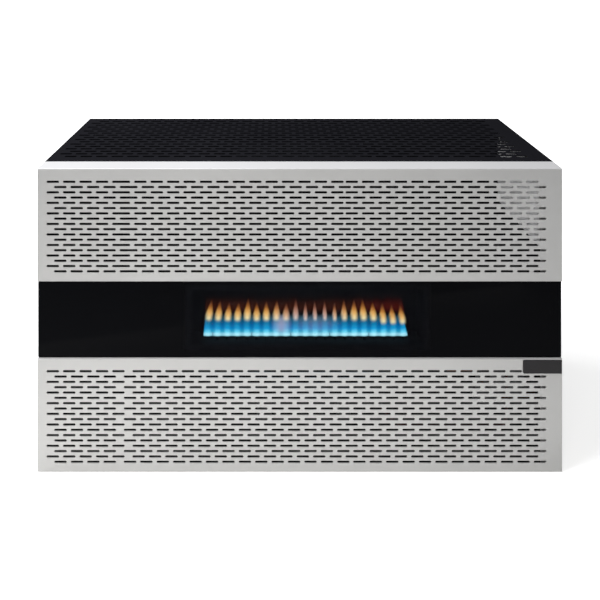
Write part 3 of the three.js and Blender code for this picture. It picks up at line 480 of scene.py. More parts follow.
def outline(u, v, radii):
    """A rectangle's points, anticlockwise from its lower right corner, each corner with its radius."""
    points = []
    corners = ((u[1], v[0], -1, 1), (u[1], v[1], -1, -1), (u[0], v[1], 1, -1), (u[0], v[0], 1, 1))
    for quarter, ((cu, cv, su, sv), radius) in enumerate(zip(corners, radii)):
        for step in range(9 if radius else 1):
            turn = math.radians(90 * quarter - 90 + 11.25 * step)
            points.append((cu + radius * (su + math.cos(turn)), cv + radius * (sv + math.sin(turn))))
    return points


def slab(name, finish, axis, points, start, end, edge_width):
    """A flat outline drawn out along X or Y, with its edges broken or polished."""
    skin = bmesh.new()
    corners = [(start, u, v) if axis == "x" else (u, start, v) for u, v in points]
    face = skin.faces.new([skin.verts.new(corner) for corner in corners])
    drawn = bmesh.ops.extrude_face_region(skin, geom=[face])
    moved = [v for v in drawn["geom"] if isinstance(v, bmesh.types.BMVert)]
    reach = end - start
    bmesh.ops.translate(skin, verts=moved, vec=(reach, 0, 0) if axis == "x" else (0, reach, 0))
    bmesh.ops.recalc_face_normals(skin, faces=skin.faces)
    return settled(piece(name, skin, finish), "BEVEL", width=edge_width, segments=3,
                   limit_method="ANGLE", angle_limit=math.radians(40))


low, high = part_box("glass_band")
corners = outline((low.x, high.x), (low.z, high.z), [2 * mm] * 4)
band = slab("front_glass", printed_glass(), "y", corners, low.y, high.y, 0.3 * mm)
carry(band, "band_glass", "glass_band")


# BADGE PLATE
# A bare plate of black anodised aluminium, bonded to the lower panel. Its left corners are
# rounded, its right ones are square against the casing's edge, and its face is lightly brushed.
anodised_black, add, place = new_finish("black_anodised_brushed_aluminium")
lines = add("TexNoise", add("Mapping", place, {"Scale": (30.0, 1.0, 2500.0)}), 1.0, 3.0)
gloss = add("MapRange", lines, 0.0, 1.0, 0.3, 0.45)
surface(add, lines, ("#121012", "#242224"), gloss, (0.4, 0.01, lines), 0.2)
low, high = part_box("badge_plate")
corners = outline((low.x, high.x), (low.z, high.z), (0, 0, 2.2 * mm, 2.2 * mm))
badge = slab("bare_badge_plate", anodised_black, "y", corners, low.y, high.y, 0.25 * mm)
carry(badge, "badge_black", "badge_plate")


# COMBUSTION CHAMBER
# A folded pan and its front plate in sheet steel with black stove enamel, on two galvanised
# legs. A frame clamps the inner pane on a fibre gasket, and a baffle turns the hot gases.
stove_enamel, add, place = new_finish("black_stove_enamel_on_steel")
burnt = add("MapRange", add("TexNoise", place, 14.0, 5.0), 0.45, 0.75)
dust = add("TexNoise", place, 1 / (1.0 * mm), 3.0)
gloss = add("MapRange", dust, 0.3, 0.7, 0.64, 0.8)
surface(add, burnt, ("#0C0C0D", "#15110F"), gloss, (0.2, 0.05, dust), 0.04)
for name, node in (("pan", "chamber_pan"), ("pan_front", "chamber_front"), ("pane_frame", "window_frame"),
                   ("baffle", "flue_baffle"), ("left_burner_foot", "burner_left_bracket"),
                   ("right_burner_foot", "burner_right_bracket")):
    softened(name, node, stove_enamel, "hot_steel", radius=0.3 * mm)
for side in ("left", "right"):
    softened(f"{side}_leg", f"chamber_{side}_leg", galvanised_steel, "galvanised")

# The inner pane is flat ceramic glass, all but invisible, with a faint bloom from the heat.
ceramic_glass, add, place = new_finish("clear_ceramic_glass")
film = add("MapRange", add("TexNoise", place, 20.0, 4.0), 0.4, 0.8, 0.02, 0.06)
add("OutputMaterial", add("BsdfPrincipled", {"Base Color": linear("#1A1C1E"), "Roughness": 0.08,
    "Specular IOR Level": 0.1, "Alpha": film}))

# The gasket is pressed ceramic fibre, off-white gone grey, with short matted fibres.
fibre, add, place = new_finish("pressed_ceramic_fibre")
strands = add("TexNoise", place, 1 / (1.5 * mm), 5.0, {"Distortion": 2.0})
surface(add, strands, ("#4B4843", "#8B867C"), 0.95, (0.4, 0.2, strands), 0.2)
for node, finish in (("window_glass", ceramic_glass), ("window_gasket", fibre)):
    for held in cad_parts[node].material_slots:
        held.material = finish


# BURNER
# A hollow bar of stainless sheet with one port for each flame, its mixing tube and the brass
# injector. Heat has darkened the bar: straw, violet and blue tints fade into soot.
blackened_stainless, add, place = new_finish("heat_blackened_stainless")
wave = add("TexNoise", place, 30.0, 3.0)
level = add("MULTIPLY_ADD", wave, 8 * mm, add("SeparateXYZ", place).outputs["Z"])
tint = add("ValToRGB", add("MapRange", level, 136 * mm, 166 * mm),
           ramp={0.0: "#0C0A09", 0.35: "#0D0907", 0.6: "#08080E", 1.0: "#050507"})
gloss = add("MapRange", wave, 0.0, 1.0, 0.5, 0.75)
add("OutputMaterial", add("BsdfPrincipled", {"Base Color": tint, "Metallic": 0.2,
    "Specular IOR Level": 0.1, "Roughness": gloss}))
softened("burner", "burner_bar", blackened_stainless, "stainless", radius=0.5 * mm)
softened("mixer", "mixing_tube", blackened_stainless, "stainless", radius=0.2 * mm)


def worked_metal(name, shades, roughness, grain, metallic=0.9):
    """A bare metal part: turned or drawn lines across it, patches of tarnish and fine scratches."""
    metal, add, place = new_finish(name)
    lines = add("TexNoise", add("Mapping", place, {"Scale": grain}), 1.0, 2.0)
    tarnish = add("TexNoise", place, 90.0, 4.0)
    tone = add("MapRange", add("MULTIPLY_ADD", lines, 0.4, tarnish), 0.45, 0.95)
    gloss = add("MapRange", tarnish, 0.3, 0.7, roughness - 0.06, roughness + 0.08)
    surface(add, tone, shades, gloss, (0.3, 0.02, lines), metallic=metallic)
    return metal


turned_brass = worked_metal("turned_brass", ("#B8975A", "#E0C284"), 0.34, (2200.0, 60.0, 60.0))
softened("gas_jet", "injector", turned_brass, "brass", radius=0.2 * mm, angle=50)


# PILOT GROUP
# The pilot burner, the flame sensor and the spark electrode hang by their collars in a folded
# bracket on the burner's back: turned brass, copper, and a glazed ceramic sleeve.
glaze, add, place = new_finish("glazed_white_ceramic")
specks = add("TexNoise", place, 1 / (1.2 * mm), 2.0)
warmth = add("MapRange", specks, 0.45, 0.75)
surface(add, warmth, ("#DCD8CE", "#B9AE9C"), 0.22, (0.2, 0.03, specks), coat=0.6)
drawn_copper = worked_metal("drawn_copper", ("#5A3624", "#8A5A3E"), 0.34, (300.0, 300.0, 300.0))
brushed_stainless = worked_metal("brushed_stainless_sheet", ("#8C8A86", "#B4B2AE"), 0.36, (60.0, 60.0, 1800.0))
softened("pilot_shelf", "pilot_bracket", brushed_stainless, "stainless", radius=0.25 * mm)
for name, node, finish, slot in (("pilot_jet", "pilot_burner", turned_brass, "brass"),
                                 ("flame_sensor", "thermocouple", drawn_copper, "copper"),
                                 ("spark_plug", "spark_electrode", glaze, "ceramic")):
    softened(name, node, finish, slot, radius=0.3 * mm, angle=50)


# FLAMES
# 21 gas flames in a row on the burner. Each has a yellow tip over a blue curtain of burning gas,
# and a dark red glow stands behind. They lean out toward the two ends.
def flame_glow(name, build):
    """Light with no surface: the built colour and opacity, each a socket, in front of nothing."""
    glow, add, place = new_finish(name)
    colour, cover = build(add, add("SeparateXYZ", place).outputs)
    brightness = 1.9
    shine = add("Emission", colour, brightness)
    add("OutputMaterial", add("MixShader", cover, add("BsdfTransparent"), shine))
    return glow


flame_start = -147.4 * mm
flame_pitch = 15.94 * mm
row_middle = 20 * mm
curtain_low = 161.6 * mm
curtain_high = 200.0 * mm


def tongue_light(add, at):
    """Pale yellow low down, orange higher up and brown at the tip; pinkish in the row's middle."""
    rise = add("Attribute", attribute_name="rise").outputs["Fac"]
    across = add("Attribute", attribute_name="across").outputs["Fac"]
    warm = add("ValToRGB", rise, ramp={
        0.0: "#608090", 0.1: "#B0B8A8", 0.22: "#E2D4A4", 0.4: "#E0AC5C", 0.56: "#B07030", 0.7: "#804820",
        0.85: "#582C14", 1.0: "#3A1A0A"})
    pink = add("ValToRGB", rise, ramp={
        0.0: "#6080A0", 0.1: "#94AABC", 0.22: "#C8BAB4", 0.4: "#B88A78", 0.58: "#8C5640", 0.7: "#6C3C2C",
        0.85: "#341A14", 1.0: "#180C0C"})
    off = add("ABSOLUTE", add("SUBTRACT", at["X"], row_middle))
    central = add("MapRange", off, 24 * mm, 70 * mm, 1.0, 0.0)
    side = add("MapRange", across, 0.0, 0.95, 1.0, 0.0, **smooth)
    foot = add("MapRange", rise, 0.02, 0.26, 0.0, 1.0, **smooth)
    tip = add("MapRange", rise, 0.35, 0.95, 1.0, 0.06)
    return (add("Mix", central, warm, pink, data_type="RGBA"),
            add("MULTIPLY", add("MULTIPLY", side, foot), tip))


def curtain_light(add, at):
    """Pale cyan at the ports, deep blue above, with lighter flames and darker gaps between."""
    rise = add("MapRange", at["Z"], curtain_low, curtain_high)
    centre = add("ValToRGB", rise, ramp={
        0.0: "#40707C", 0.05: "#7CB8C6", 0.115: "#B0EAF8", 0.17: "#A4E8F8", 0.25: "#66D2F0",
        0.41: "#1096CE", 0.585: "#1478A8", 0.755: "#1A6078", 1.0: "#10303C"})
    between = add("ValToRGB", rise, ramp={
        0.0: "#2C5C68", 0.05: "#5C98A8", 0.115: "#96D0E0", 0.17: "#7CC8E0", 0.25: "#26A0C0",
        0.41: "#0072B2", 0.585: "#005488", 0.755: "#124E60", 1.0: "#0C2830"})
    phase = add("MULTIPLY", add("ADD", at["X"], -flame_start), math.tau / flame_pitch)
    near = add("MapRange", add("COSINE", phase), -0.9, 0.7, **smooth)
    colour = add("Mix", near, between, centre, data_type="RGBA")
    high = add("MapRange", rise, 0.1, 0.3)
    for spot, reach, strength in ((-27 * mm, 19 * mm, 0.5), (28 * mm, 50 * mm, 0.13)):
        off = add("ABSOLUTE", add("SUBTRACT", at["X"], spot))
        lilac = add("MULTIPLY", add("MapRange", off, 0.0, reach, strength, 0.0, **smooth), high)
        colour = add("Mix", lilac, colour, linear("#B4B4CC"), data_type="RGBA")
    # Dark lines part the flames into groups of four.
    pair = add("PINGPONG", add("ADD", at["X"], -flame_start - 0.5 * flame_pitch), 2 * flame_pitch)
    pair = add("MapRange", pair, 0.3 * mm, 1.2 * mm, 0.2, 1.0)
    gap = add("MAXIMUM", pair, add("MapRange", rise, 0.14, 0.25))
    top = add("MapRange", rise, 0.6, 1.0, 1.0, 0.0, **smooth)
    foot = add("MapRange", rise, 0.0, 0.04)
    return colour, add("MULTIPLY", add("MULTIPLY", top, foot), gap)


def haze_light(add, at):
    """A dark brown glow that wavers, fades up and down, and turns red at the right."""
    along = add("MapRange", at["X"], 90 * mm, 130 * mm)
    colour = add("Mix", along, linear("#4A1C06"), linear("#601406"), data_type="RGBA")
    waver = add("TexNoise", at["X"], 55.0, 2.0, noise_dimensions="1D")
    level = add("MULTIPLY_ADD", waver, 16 * mm, at["Z"])
    low = add("MapRange", at["Z"], 193 * mm, 201 * mm, **smooth)
    high = add("MapRange", level, 204 * mm, 229 * mm, 0.25, 0.0, **smooth)
    return colour, add("MULTIPLY", low, high)


def flame_ribbon(add, start, end, start_slant, end_slant, low, high, depth, middle_y, first, pitch):
    """A closed, scalloped sheet of flame along X."""
    line = add("CurvePrimitiveLine", add("CombineXYZ", start), add("CombineXYZ", end))
    steps = add("ResampleCurve", line, {"Count": 253})
    tube = add("CurveToMesh", steps, add("CurvePrimitiveCircle", 24, {"Radius": 1.0}), {"Fill Caps": True})
    at = add("SeparateXYZ", add("InputPosition")).outputs
    phase = add("DIVIDE", add("SUBTRACT", at["X"], first), pitch)
    wave = add("COSINE", add("MULTIPLY", phase, math.tau))
    swell = add("MULTIPLY", add("MULTIPLY_ADD", wave, 0.16, 0.84), depth)
    y = add("MULTIPLY_ADD", at["Y"], swell, middle_y)
    z = add("MapRange", at["Z"], -1.0, 1.0, low, high)
    rise = add("MapRange", at["Z"], -1.0, 1.0)
    left = add("MULTIPLY_ADD", rise, start_slant, start)
    right = add("MULTIPLY_ADD", rise, end_slant, end)
    x = add("MapRange", at["X"], start, end, left, right)
    return add("SetPosition", tube, {"Position": add("CombineXYZ", x, y, z)})


over_one = 1.0001


def flame_tongues(add, first, pitch, bottom, middle_y, width, depth, height, lean, count, seed):
    """A row of pointed flame tips that lean out toward the row's ends."""
    ball = add("MeshUVSphere", 20, 16, 1.0)
    at = add("SeparateXYZ", add("InputPosition")).outputs
    rise = add("MapRange", at["Z"], -1.0, 1.0, 0.0, 1.0)
    radius = add("SQRT", add("SUBTRACT", over_one, add("MULTIPLY", at["Z"], at["Z"])))
    across = add("ABSOLUTE", add("DIVIDE", at["X"], radius))
    ball = add("StoreNamedAttribute", ball, {"Name": "rise", "Value": rise})
    ball = add("StoreNamedAttribute", ball, {"Name": "across", "Value": across})
    fall = add("POWER", add("SUBTRACT", 1.0, rise), 1.3)
    swell = add("POWER", rise, 0.3)
    girth = add("DIVIDE", add("MULTIPLY", add("MULTIPLY", swell, fall), 1.1), radius)
    x = add("MULTIPLY", at["X"], add("MULTIPLY", girth, width))
    y = add("MULTIPLY", at["Y"], add("MULTIPLY", girth, depth))
    z = add("MULTIPLY", rise, height)
    tongue = add("SetPosition", ball, {"Position": add("CombineXYZ", x, y, z)})
    line = add("MeshLine", count, {
        "Start Location": add("CombineXYZ", first, middle_y, bottom),
        "Offset": add("CombineXYZ", pitch)})
    index = add("InputIndex")
    along = add("DIVIDE", index, add("SUBTRACT", count, 1.0))
    ends = add("MULTIPLY_ADD", along, -2.0, 1.0)
    cube = add("MULTIPLY", add("MULTIPLY", ends, ends), ends)
    sway = add("RandomValue", {"Min": -0.035, "Max": 0.035, "ID": index, "Seed": seed})
    tilt = add("MULTIPLY_ADD", cube, lean, sway)
    # The tips just right of the middle are slim, and the last ones start lower.
    off = add("ABSOLUTE", add("SUBTRACT", along, 0.57))
    slim = add("MapRange", off, 0.08, 0.16, 0.62, 1.0)
    tall = add("RandomValue", {"Min": 0.9, "Max": 1.1, "ID": index, "Seed": 7})
    late = add("MapRange", along, 0.86, 0.9, 0.0, -5 * mm)
    placed = add("SetPosition", line, {"Offset": add("CombineXYZ", 0.0, 0.0, late)})
    return add("InstanceOnPoints", placed, {
        "Instance": tongue, "Rotation": add("EulerToRotation", add("CombineXYZ", 0.0, tilt, 0.0)),
        "Scale": add("CombineXYZ", slim, 1.0, tall)})


row = {"first": flame_start, "pitch": flame_pitch}
long = {"start": -155 * mm, "end": 180 * mm, "start_slant": 4 * mm, "end_slant": -10 * mm, **row}
for name, build, finish, sizes in (
    ("flame_curtain", flame_ribbon, flame_glow("blue_gas_flame", curtain_light),
     {"low": curtain_low, "high": curtain_high, "depth": 2.6 * mm, "middle_y": -43 * mm, **long}),
    ("flame_haze", flame_ribbon, flame_glow("red_flame_haze", haze_light),
     {"low": 184 * mm, "high": 224 * mm, "depth": 3.5 * mm, "middle_y": -34 * mm, **long}),
    ("flame_tongues", flame_tongues, flame_glow("yellow_flame_tips", tongue_light),
     {"bottom": 185 * mm, "middle_y": -43 * mm, "width": 16.2 * mm, "depth": 6.5 * mm, "height": 41 * mm,
      "lean": 0.14, "count": 21, "seed": 3, **row}),
):
    mesh = grown(name, build, finish=finish, **sizes)
    mesh.shade_smooth()
    carry(piece(name, mesh), None)


# GAS VALVE
# A die-cast alloy body on a folded galvanised bracket. A brass plunger slides in it and holds
# the zinc-plated spindle, which goes out through the side plate to the knob.
cast_alloy = worked_metal("shot_blasted_cast_alloy", ("#5E6062", "#7C7E80"), 0.55, (700.0, 700.0, 700.0), 0.7)
zinc_plate = worked_metal("zinc_plated_turned_steel", ("#989C9E", "#C4C6C4"), 0.3, (900.0, 60.0, 60.0))
softened("valve_body", "gas_valve_body", cast_alloy, "cast_alloy", radius=1.6 * mm, segments=3, angle=50)
softened("valve_foot", "valve_bracket", galvanised_steel, "galvanised")
softened("plunger", "valve_plunger", turned_brass, "brass", body="plunger", radius=0.5 * mm, angle=50)
softened("spindle", "valve_spindle", zinc_plate, "zinc_steel", body="knob", radius=0.4 * mm, angle=50)


# CONTROL PLATE
# A 1 mm aluminium plate with rounded corners, printed satin black, round the knob and the
# igniter. Its white marks are numbers, ticks and sparks in baked ink.
def printed(name, shades, roughness):
    """Screen-printed ink: even and satin, with a faint weave from the screen, drawn at 0.9 mm."""
    ink, add, place = new_finish(name)
    weave = add("TexNoise", place, 1 / (0.9 * mm), 2.0)
    rubbed = add("TexNoise", place, 60.0, 4.0)
    gloss = add("MapRange", rubbed, 0.3, 0.7, roughness + 0.06, roughness - 0.06)
    surface(add, add("MapRange", rubbed, 0.45, 0.8), shades, gloss, (0.3, 0.02, weave), 0.3)
    return ink


def across_x(x, y=0.0, z=0.0):
    """Turns a flat drawing so that it is read from +X, and puts it at this place."""
    return Matrix(((0, 0, 1, x), (1, 0, 0, y), (0, 1, 0, z), (0, 0, 0, 1)))


def flat_mesh(curve, place):
    """The mesh of a text or flat curve, moved to its place."""
    carrier = bpy.data.objects.new(curve.name, curve)
    scene.collection.objects.link(carrier)
    mesh = baked(carrier)
    bpy.data.objects.remove(carrier)
    mesh.transform(place)
    return mesh


def stamped(name, x, loops, thickness=0.0, edge=0.0):
    """The mesh of a flat part in a plane across X, from loops of (y, z) points, holes among them."""
    curve = bpy.data.curves.new(name, "CURVE")
    curve.dimensions = "2D"
    curve.fill_mode = "BOTH" if thickness else "FRONT"
    curve.extrude = thickness / 2 - edge if thickness else 0
    curve.bevel_depth = edge
    curve.bevel_resolution = 2
    curve.offset = -edge
    for loop in loops:
        spline = curve.splines.new("POLY")
        spline.points.add(len(loop) - 1)
        spline.use_cyclic_u = True
        for point, (y, z) in zip(spline.points, loop):
            point.co = (y, z, 0, 1)
    return flat_mesh(curve, across_x(x + thickness / 2))


def ring(y, z, radius, count=48, start=0.0):
    """Points round a circle, or a hexagon's corners where the count is 6."""
    turns = [start + math.tau * step / count for step in range(count)]
    return [(y + radius * math.cos(turn), z + radius * math.sin(turn)) for turn in turns]


def spark(y, z, reach):
    """An eight-pointed spark mark."""
    points = ring(y, z, reach, 16)
    points[1::2] = ring(y, z, 0.42 * reach, 16)[1::2]
    return points


knob_y, knob_z, igniter_z = -25 * mm, 115 * mm, 190 * mm
plate_low, plate_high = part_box("control_plate")
satin_black_ink = printed("satin_black_print_on_aluminium", ("#141416", "#1E1E20"), 0.42)
plate = stamped("control_plate_face", plate_low.x, [
    outline((plate_low.y, plate_high.y), (plate_low.z, plate_high.z), [5 * mm] * 4),
    ring(knob_y, knob_z, 6 * mm), ring(knob_y, igniter_z, 6.7 * mm)], 1.0 * mm, 0.15 * mm)
plate = settled(piece("control_plate_face", plate, satin_black_ink))
carry(plate, "control_plate_black", "control_plate")

# The knob opens anticlockwise: 0, the pilot's spark, then 1 to 7, over its 250 degrees.
ink_x = plate_high.x + 0.06 * mm
knob_centre = Vector((knob_y, knob_z))
marks = bmesh.new()
for number in range(9):
    turn = math.radians(250 / 8 * number)
    away = Vector((-math.sin(turn), math.cos(turn)))
    spot = knob_centre + away * 24.6 * mm
    if number == 1:
        mark = stamped("pilot_mark", ink_x, [spark(spot.x, spot.y, 2.6 * mm)])
    else:
        digit = bpy.data.curves.new("digit", "FONT")
        digit.body = str(max(number - 1, 0))
        digit.size = 6.2 * mm
        digit.align_x, digit.align_y = "CENTER", "CENTER"
        digit.resolution_u = 6
        mark = flat_mesh(digit, across_x(ink_x, spot.x, spot.y))
    marks.from_mesh(mark)
    side = Vector((away.y, -away.x)) * 0.3 * mm
    near, far = (knob_centre + away * reach * mm for reach in (19.9, 21.3))
    marks.from_mesh(stamped("tick", ink_x, [[near - side, near + side, far + side, far - side]]))
marks.from_mesh(stamped("igniter_mark", ink_x, [spark(knob_y, 209 * mm, 4.2 * mm)]))
for face in marks.faces:
    if face.normal.x < 0:
        face.normal_flip()
white_ink = printed("white_baked_ink", ("#E4E4E0", "#CFCFCA"), 0.5)
carry(piece("plate_marks", marks, white_ink), None)


# KNOB
# A moulded black plastic knob with a round skirt and a fluted grip, pushed on the spindle's
# flat. Its raised wing carries a white-filled line that points at the marks.
def moulded(name, shades, roughness, grain):
    """Moulded plastic: spark-eroded grain in the tool, and a slight shine where it is handled."""
    plastic, add, place = new_finish(name)
    pits = add("TexNoise", place, 1 / grain, 3.0)
    worn = add("TexNoise", place, 70.0, 3.0)
    gloss = add("MapRange", worn, 0.35, 0.7, roughness + 0.05, roughness - 0.08)
    surface(add, worn, shades, gloss, (0.5, 0.05, pits), 0.4)
    return plastic


def turned(name, finish, axis, centre, profile, closed=False, segments=96):
    """A part turned round X or Y, from points of distance along the axis and radius."""
    skin = bmesh.new()
    rows = []
    for along, radius in profile:
        row = []
        for u, v in (ring(*centre, radius, segments) if radius else [centre]):
            row.append(skin.verts.new((along, u, v) if axis == "x" else (u, along, v)))
        rows.append(row)
    for first, second in zip(rows, rows[1:] + ([rows[0]] if closed else [])):
        for n in range(segments):
            corners = [first[n % len(first)], first[(n + 1) % len(first)],
                       second[(n + 1) % len(second)], second[n % len(second)]]
            skin.faces.new(list(dict.fromkeys(corners)))
    bmesh.ops.recalc_face_normals(skin, faces=skin.faces)
    return settled(piece(name, skin, finish))


def arc(y, radius, start, end, count, flute=0.0):
    """Points on an arc round (y, 0) from start to end in degrees, fluted if asked."""
    points = []
    for step in range(count):
        turn = math.radians(start + (end - start) * step / (count - 1))
        reach = radius - flute * (1 - math.cos(math.tau * step / 6))
        points.append((y + reach * math.cos(turn), reach * math.sin(turn)))
    return points


black_plastic = moulded("black_moulded_plastic", ("#131314", "#1C1C1E"), 0.42, 0.7 * mm)
knob_low, knob_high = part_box("control_knob")
wing = 7 * mm
grip_radius = 15.5 * mm
corner = 2 * mm
half_wing = math.degrees(math.asin(wing / grip_radius))
grip_points = arc(0, grip_radius, 90 - half_wing, 90 + half_wing, 9)
grip_points += [(y, corner + z) for y, z in arc(-wing - corner, corner, 0, -90, 5)]
grip_points += arc(0, grip_radius, 184, 356, 121, 0.15 * mm)
grip_points += [(y, corner + z) for y, z in arc(wing + corner, corner, 270, 180, 5)]
grip_points = [(knob_y + y, knob_z + z) for y, z in grip_points]


def pointer_line(name, finish, half_width, low, high, start, end, edge):
    """A straight bar on the knob, from low to high above its axis."""
    corners = [(knob_y + y, knob_z + z) for y, z in (
        (-half_width, low), (half_width, low), (half_width, high), (-half_width, high))]
    return slab(name, finish, "x", corners, knob_high.x + start, knob_high.x + end, edge)


grip = slab("knob_grip", black_plastic, "x", grip_points, knob_low.x + 4.5 * mm, knob_high.x, 0.7 * mm)
cutter = pointer_line("pointer_cutter", black_plastic, 0.8 * mm, 3 * mm, 17 * mm, -0.6 * mm, 2 * mm, 0.01 * mm)
settled(grip, "BOOLEAN", object=cutter, solver="EXACT")
bpy.data.objects.remove(cutter)
carry(grip, "black_plastic", "control_knob", body="knob")
skirt = turned("knob_skirt", black_plastic, "x", (knob_y, knob_z), [
    (knob_low.x + along * mm, radius * mm) for along, radius in (
        (0, 0), (0, 17.6), (0.3, 18.6), (0.9, 19), (3.2, 18.9), (3.9, 18.6), (4.5, 17.9), (4.9, 16.9), (5, 0))])
carry(skirt, "black_plastic", body="knob")
pointer = pointer_line("knob_pointer", white_ink, 0.7 * mm, 3.1 * mm, 15 * mm, -1 * mm, -0.25 * mm, 0.05 * mm)
carry(pointer, None, body="knob")


# IGNITER
# A piezo striker in a black plastic body whose neck comes through the side, held by a hexagon
# nut. Its red push button has a domed end.
softened("striker", "igniter_body", black_plastic, "black_plastic", radius=0.5 * mm, angle=50)
low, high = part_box("igniter_nut")
loops = [ring(knob_y, igniter_z, 10 * mm, 6), ring(knob_y, igniter_z, 6.7 * mm)]
nut = piece("striker_nut", stamped("striker_nut", low.x, loops, 3 * mm, 0.5 * mm), zinc_plate)
carry(settled(nut), "zinc_steel", "igniter_nut")
red_plastic = moulded("red_moulded_plastic", ("#B01A14", "#9A130F"), 0.3, 1.2 * mm)
low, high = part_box("igniter_button")
profile = [(low.x, 0), (low.x, 4.6 * mm)]
for step in range(9):
    turn = math.radians(11.25 * step)
    profile.append((high.x + (1.6 * math.sin(turn) - 2.0) * mm, (3.0 + 1.6 * math.cos(turn)) * mm))
profile += [(high.x - 0.1 * mm, 1.5 * mm), (high.x, 0)]
button = turned("push_button", red_plastic, "x", (knob_y, igniter_z), profile, segments=64)
carry(button, "red_plastic", "igniter_button", body="igniter_button")


# GAS INLET
# A forged brass union outside the side plate: a hexagon, then a turned male thread with a
# 16 mm bore, soldered to the copper supply pipe.
low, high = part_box("gas_inlet_union")
inlet_z = (low.z + high.z) / 2
hexagon = slab("union_hexagon", turned_brass, "x", ring(knob_y, inlet_z, 13 * mm, 6, math.pi / 6),
               low.x, low.x + 11 * mm, 0.7 * mm)
carry(hexagon, "brass", "gas_inlet_union")
thread = [(9, 10.2), (11.4, 9.3)]
for turn_number in range(6):
    root = 12 + 1.8 * turn_number
    thread += [(root, 9.5), (root + 0.7, 10.45), (root + 1.1, 10.45), (root + 1.8, 9.5)]
length = (high.x - low.x) / mm
thread += [(length, 9.2), (length, 8), (12, 8), (12, 5)]
spigot = turned("union_thread", turned_brass, "x", (knob_y, inlet_z),
                [(low.x + along * mm, radius * mm) for along, radius in thread], closed=True, segments=64)
carry(spigot, "brass")


# PIPES AND LEADS
# Bent copper tube from the inlet to the valve, the burner and the pilot, the sensor's thin
# copper lead, and the spark lead in its silicone sleeve.
silicone, add, place = new_finish("extruded_silicone_sleeve")
mottle = add("TexNoise", place, 1 / (2 * mm), 3.0)
surface(add, mottle, ("#3C1512", "#4E1C18"), 0.55, (0.3, 0.05, mottle), 0.3)
for name, node in (("supply_tube", "gas_inlet_pipe"), ("burner_tube", "burner_pipe"),
                   ("pilot_tube", "pilot_pipe"), ("sensor_lead", "thermocouple_lead")):
    softened(name, node, drawn_copper, "copper", radius=0.15 * mm, angle=50)
softened("striker_lead", "spark_lead", silicone, "lead_sleeve", radius=0.15 * mm, angle=50)


# FLUE AND WALL RAILS
# A stainless flue pipe in a galvanised air collar, each with a rolled groove near its end for a
# seal. A galvanised duct joins the collar to the chamber, and two channel rails hold the wall.
def flue_tube(name, node, finish, slot, groove_inset):
    """A thin tube along Y with a rolled groove and softened rims."""
    low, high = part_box(node)
    centre, radius = ((low.x + high.x) / 2, (low.z + high.z) / 2), (high.z - low.z) / 2
    wall, rim = 1.5 * mm, 0.4 * mm
    groove = []
    for step in range(-6, 7):
        dip = 1.1 * mm * (0.5 + 0.5 * math.cos(math.pi * step / 6))
        groove.append((high.y - groove_inset + 0.6 * step * mm, radius - dip))
    outer = [(low.y + rim, radius), *groove, (high.y - rim, radius)]
    inner = [(along, reach - wall) for along, reach in reversed(outer)]
    profile = [*outer, (high.y, radius - rim), (high.y, radius - wall + rim),
               *inner, (low.y, radius - wall + rim), (low.y, radius - rim)]
    carry(turned(name, finish, "y", centre, profile, closed=True), slot, node)


flue_tube("flue_tube", "flue_pipe", brushed_stainless, "stainless", 14 * mm)
flue_tube("air_tube", "air_collar", galvanised_steel, "galvanised", 12 * mm)
# The duct's zinc is made near black: painted shade inside the casing.
painted_shade_zinc = zinc_coat("galvanised_steel_painted_shade_dark", ("#242628", "#303234"), 0.7)
softened("air_duct", "air_box", painted_shade_zinc, "galvanised")
for level in ("upper", "lower"):
    softened(f"{level}_rail", f"{level}_wall_rail", galvanised_steel, "galvanised", radius=0.6 * mm, segments=3)


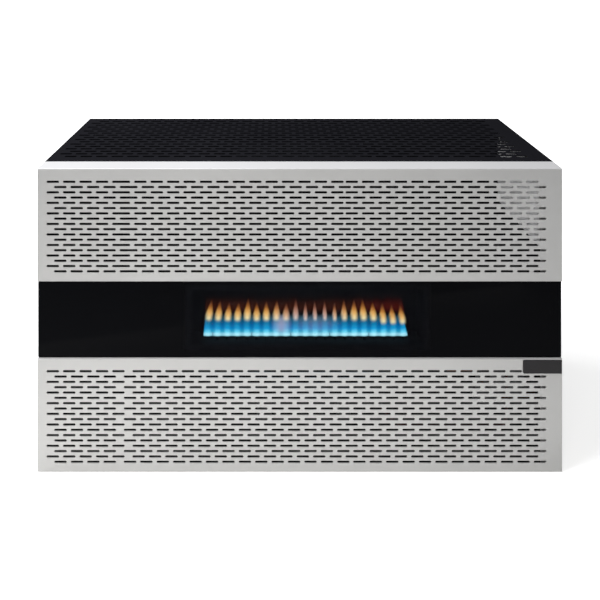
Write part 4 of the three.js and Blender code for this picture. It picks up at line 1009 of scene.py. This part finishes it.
# SCREWS
# Eight zinc-plated pan-head screws with a cross recess: four hold the panels' side flanges on
# the posts, and four hold the sides to the back.
def pan_head_screws(add, head_radius, head_height, shank_radius, shank_length, recess_length, recess_width):
    """Sets a screw on each point and turns it to face the point's way."""
    at = add("SeparateXYZ", add("InputPosition")).outputs
    square = add("SUBTRACT", over_one, add("MULTIPLY", at["Z"], at["Z"]))
    swell = add("MULTIPLY", add("POWER", square, -0.28), head_radius)
    x = add("MULTIPLY", at["X"], swell)
    y = add("MULTIPLY", at["Y"], swell)
    z = add("MULTIPLY", add("POWER", add("MAXIMUM", at["Z"], 0.0), 0.75), head_height)
    head = add("SetPosition", add("MeshUVSphere", 24, 16, 1.0), {"Position": add("CombineXYZ", x, y, z)})
    head = add("MergeByDistance", head, {"Distance": same_place})
    top = add("CombineXYZ", 0.0, 0.0, head_height)
    cross = []
    for sides in ((recess_length, recess_width), (recess_width, recess_length)):
        bar = add("MeshCube", add("CombineXYZ", *sides, head_height))
        cross.append(add("Transform", bar, {"Translation": top}))
    cross = add("JoinGeometry", cross)
    driven = add("MeshBoolean", {"Mesh 1": head, "Mesh 2": cross, "Self Intersection": True},
                 operation="DIFFERENCE", solver="EXACT")
    shank = add("MeshCylinder", {"Vertices": 16, "Radius": shank_radius, "Depth": shank_length})
    down = add("CombineXYZ", 0.0, 0.0, add("MULTIPLY", shank_length, -0.49))
    whole = add("JoinGeometry", [driven, add("Transform", shank, {"Translation": down})])
    way = add("InputNamedAttribute", "facing", data_type="FLOAT_VECTOR")
    spin = add("RandomValue", {"Min": 0.0, "Max": 1.5, "ID": add("InputIndex"), "Seed": 4})
    spin = add("EulerToRotation", add("CombineXYZ", 0.0, 0.0, spin))
    turn = add("RotateRotation", add("AlignRotationToVector", {"Vector": way}, axis="Z"), spin,
               rotation_space="LOCAL")
    return add("InstanceOnPoints", add("GroupInput").outputs["Points"], {"Instance": whole, "Rotation": turn})


screw_nodes = [f"{side}_{level}_{plate}_screw" for plate in ("panel", "back")
               for side in ("left", "right") for level in ("lower", "upper")]
head_height = 2 * mm
spots, ways = [], []
for node in screw_nodes:
    low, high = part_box(node)
    way = Vector((0, 1, 0) if "back" in node else (-1, 0, 0) if "left" in node else (1, 0, 0))
    to_head = abs((high - low).dot(way)) / 2 - head_height
    spots.append((low + high) / 2 + way * to_head)
    ways.extend(way)
points = bpy.data.meshes.new("screw_points")
points.from_pydata(spots, [], [])
points.attributes.new("facing", "FLOAT_VECTOR", "POINT").data.foreach_set("vector", ways)
mesh = grown("screws", pan_head_screws, points, head_radius=4 * mm, head_height=head_height,
             shank_radius=1.8 * mm, shank_length=8 * mm, recess_length=4.4 * mm, recess_width=0.9 * mm,
             finish=zinc_plate)
carry(settled(piece("screws", mesh, zinc_plate), angle=40), "zinc_steel", *screw_nodes)


# BOUNDS
# The box round the finished model, without the floor.
low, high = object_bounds()
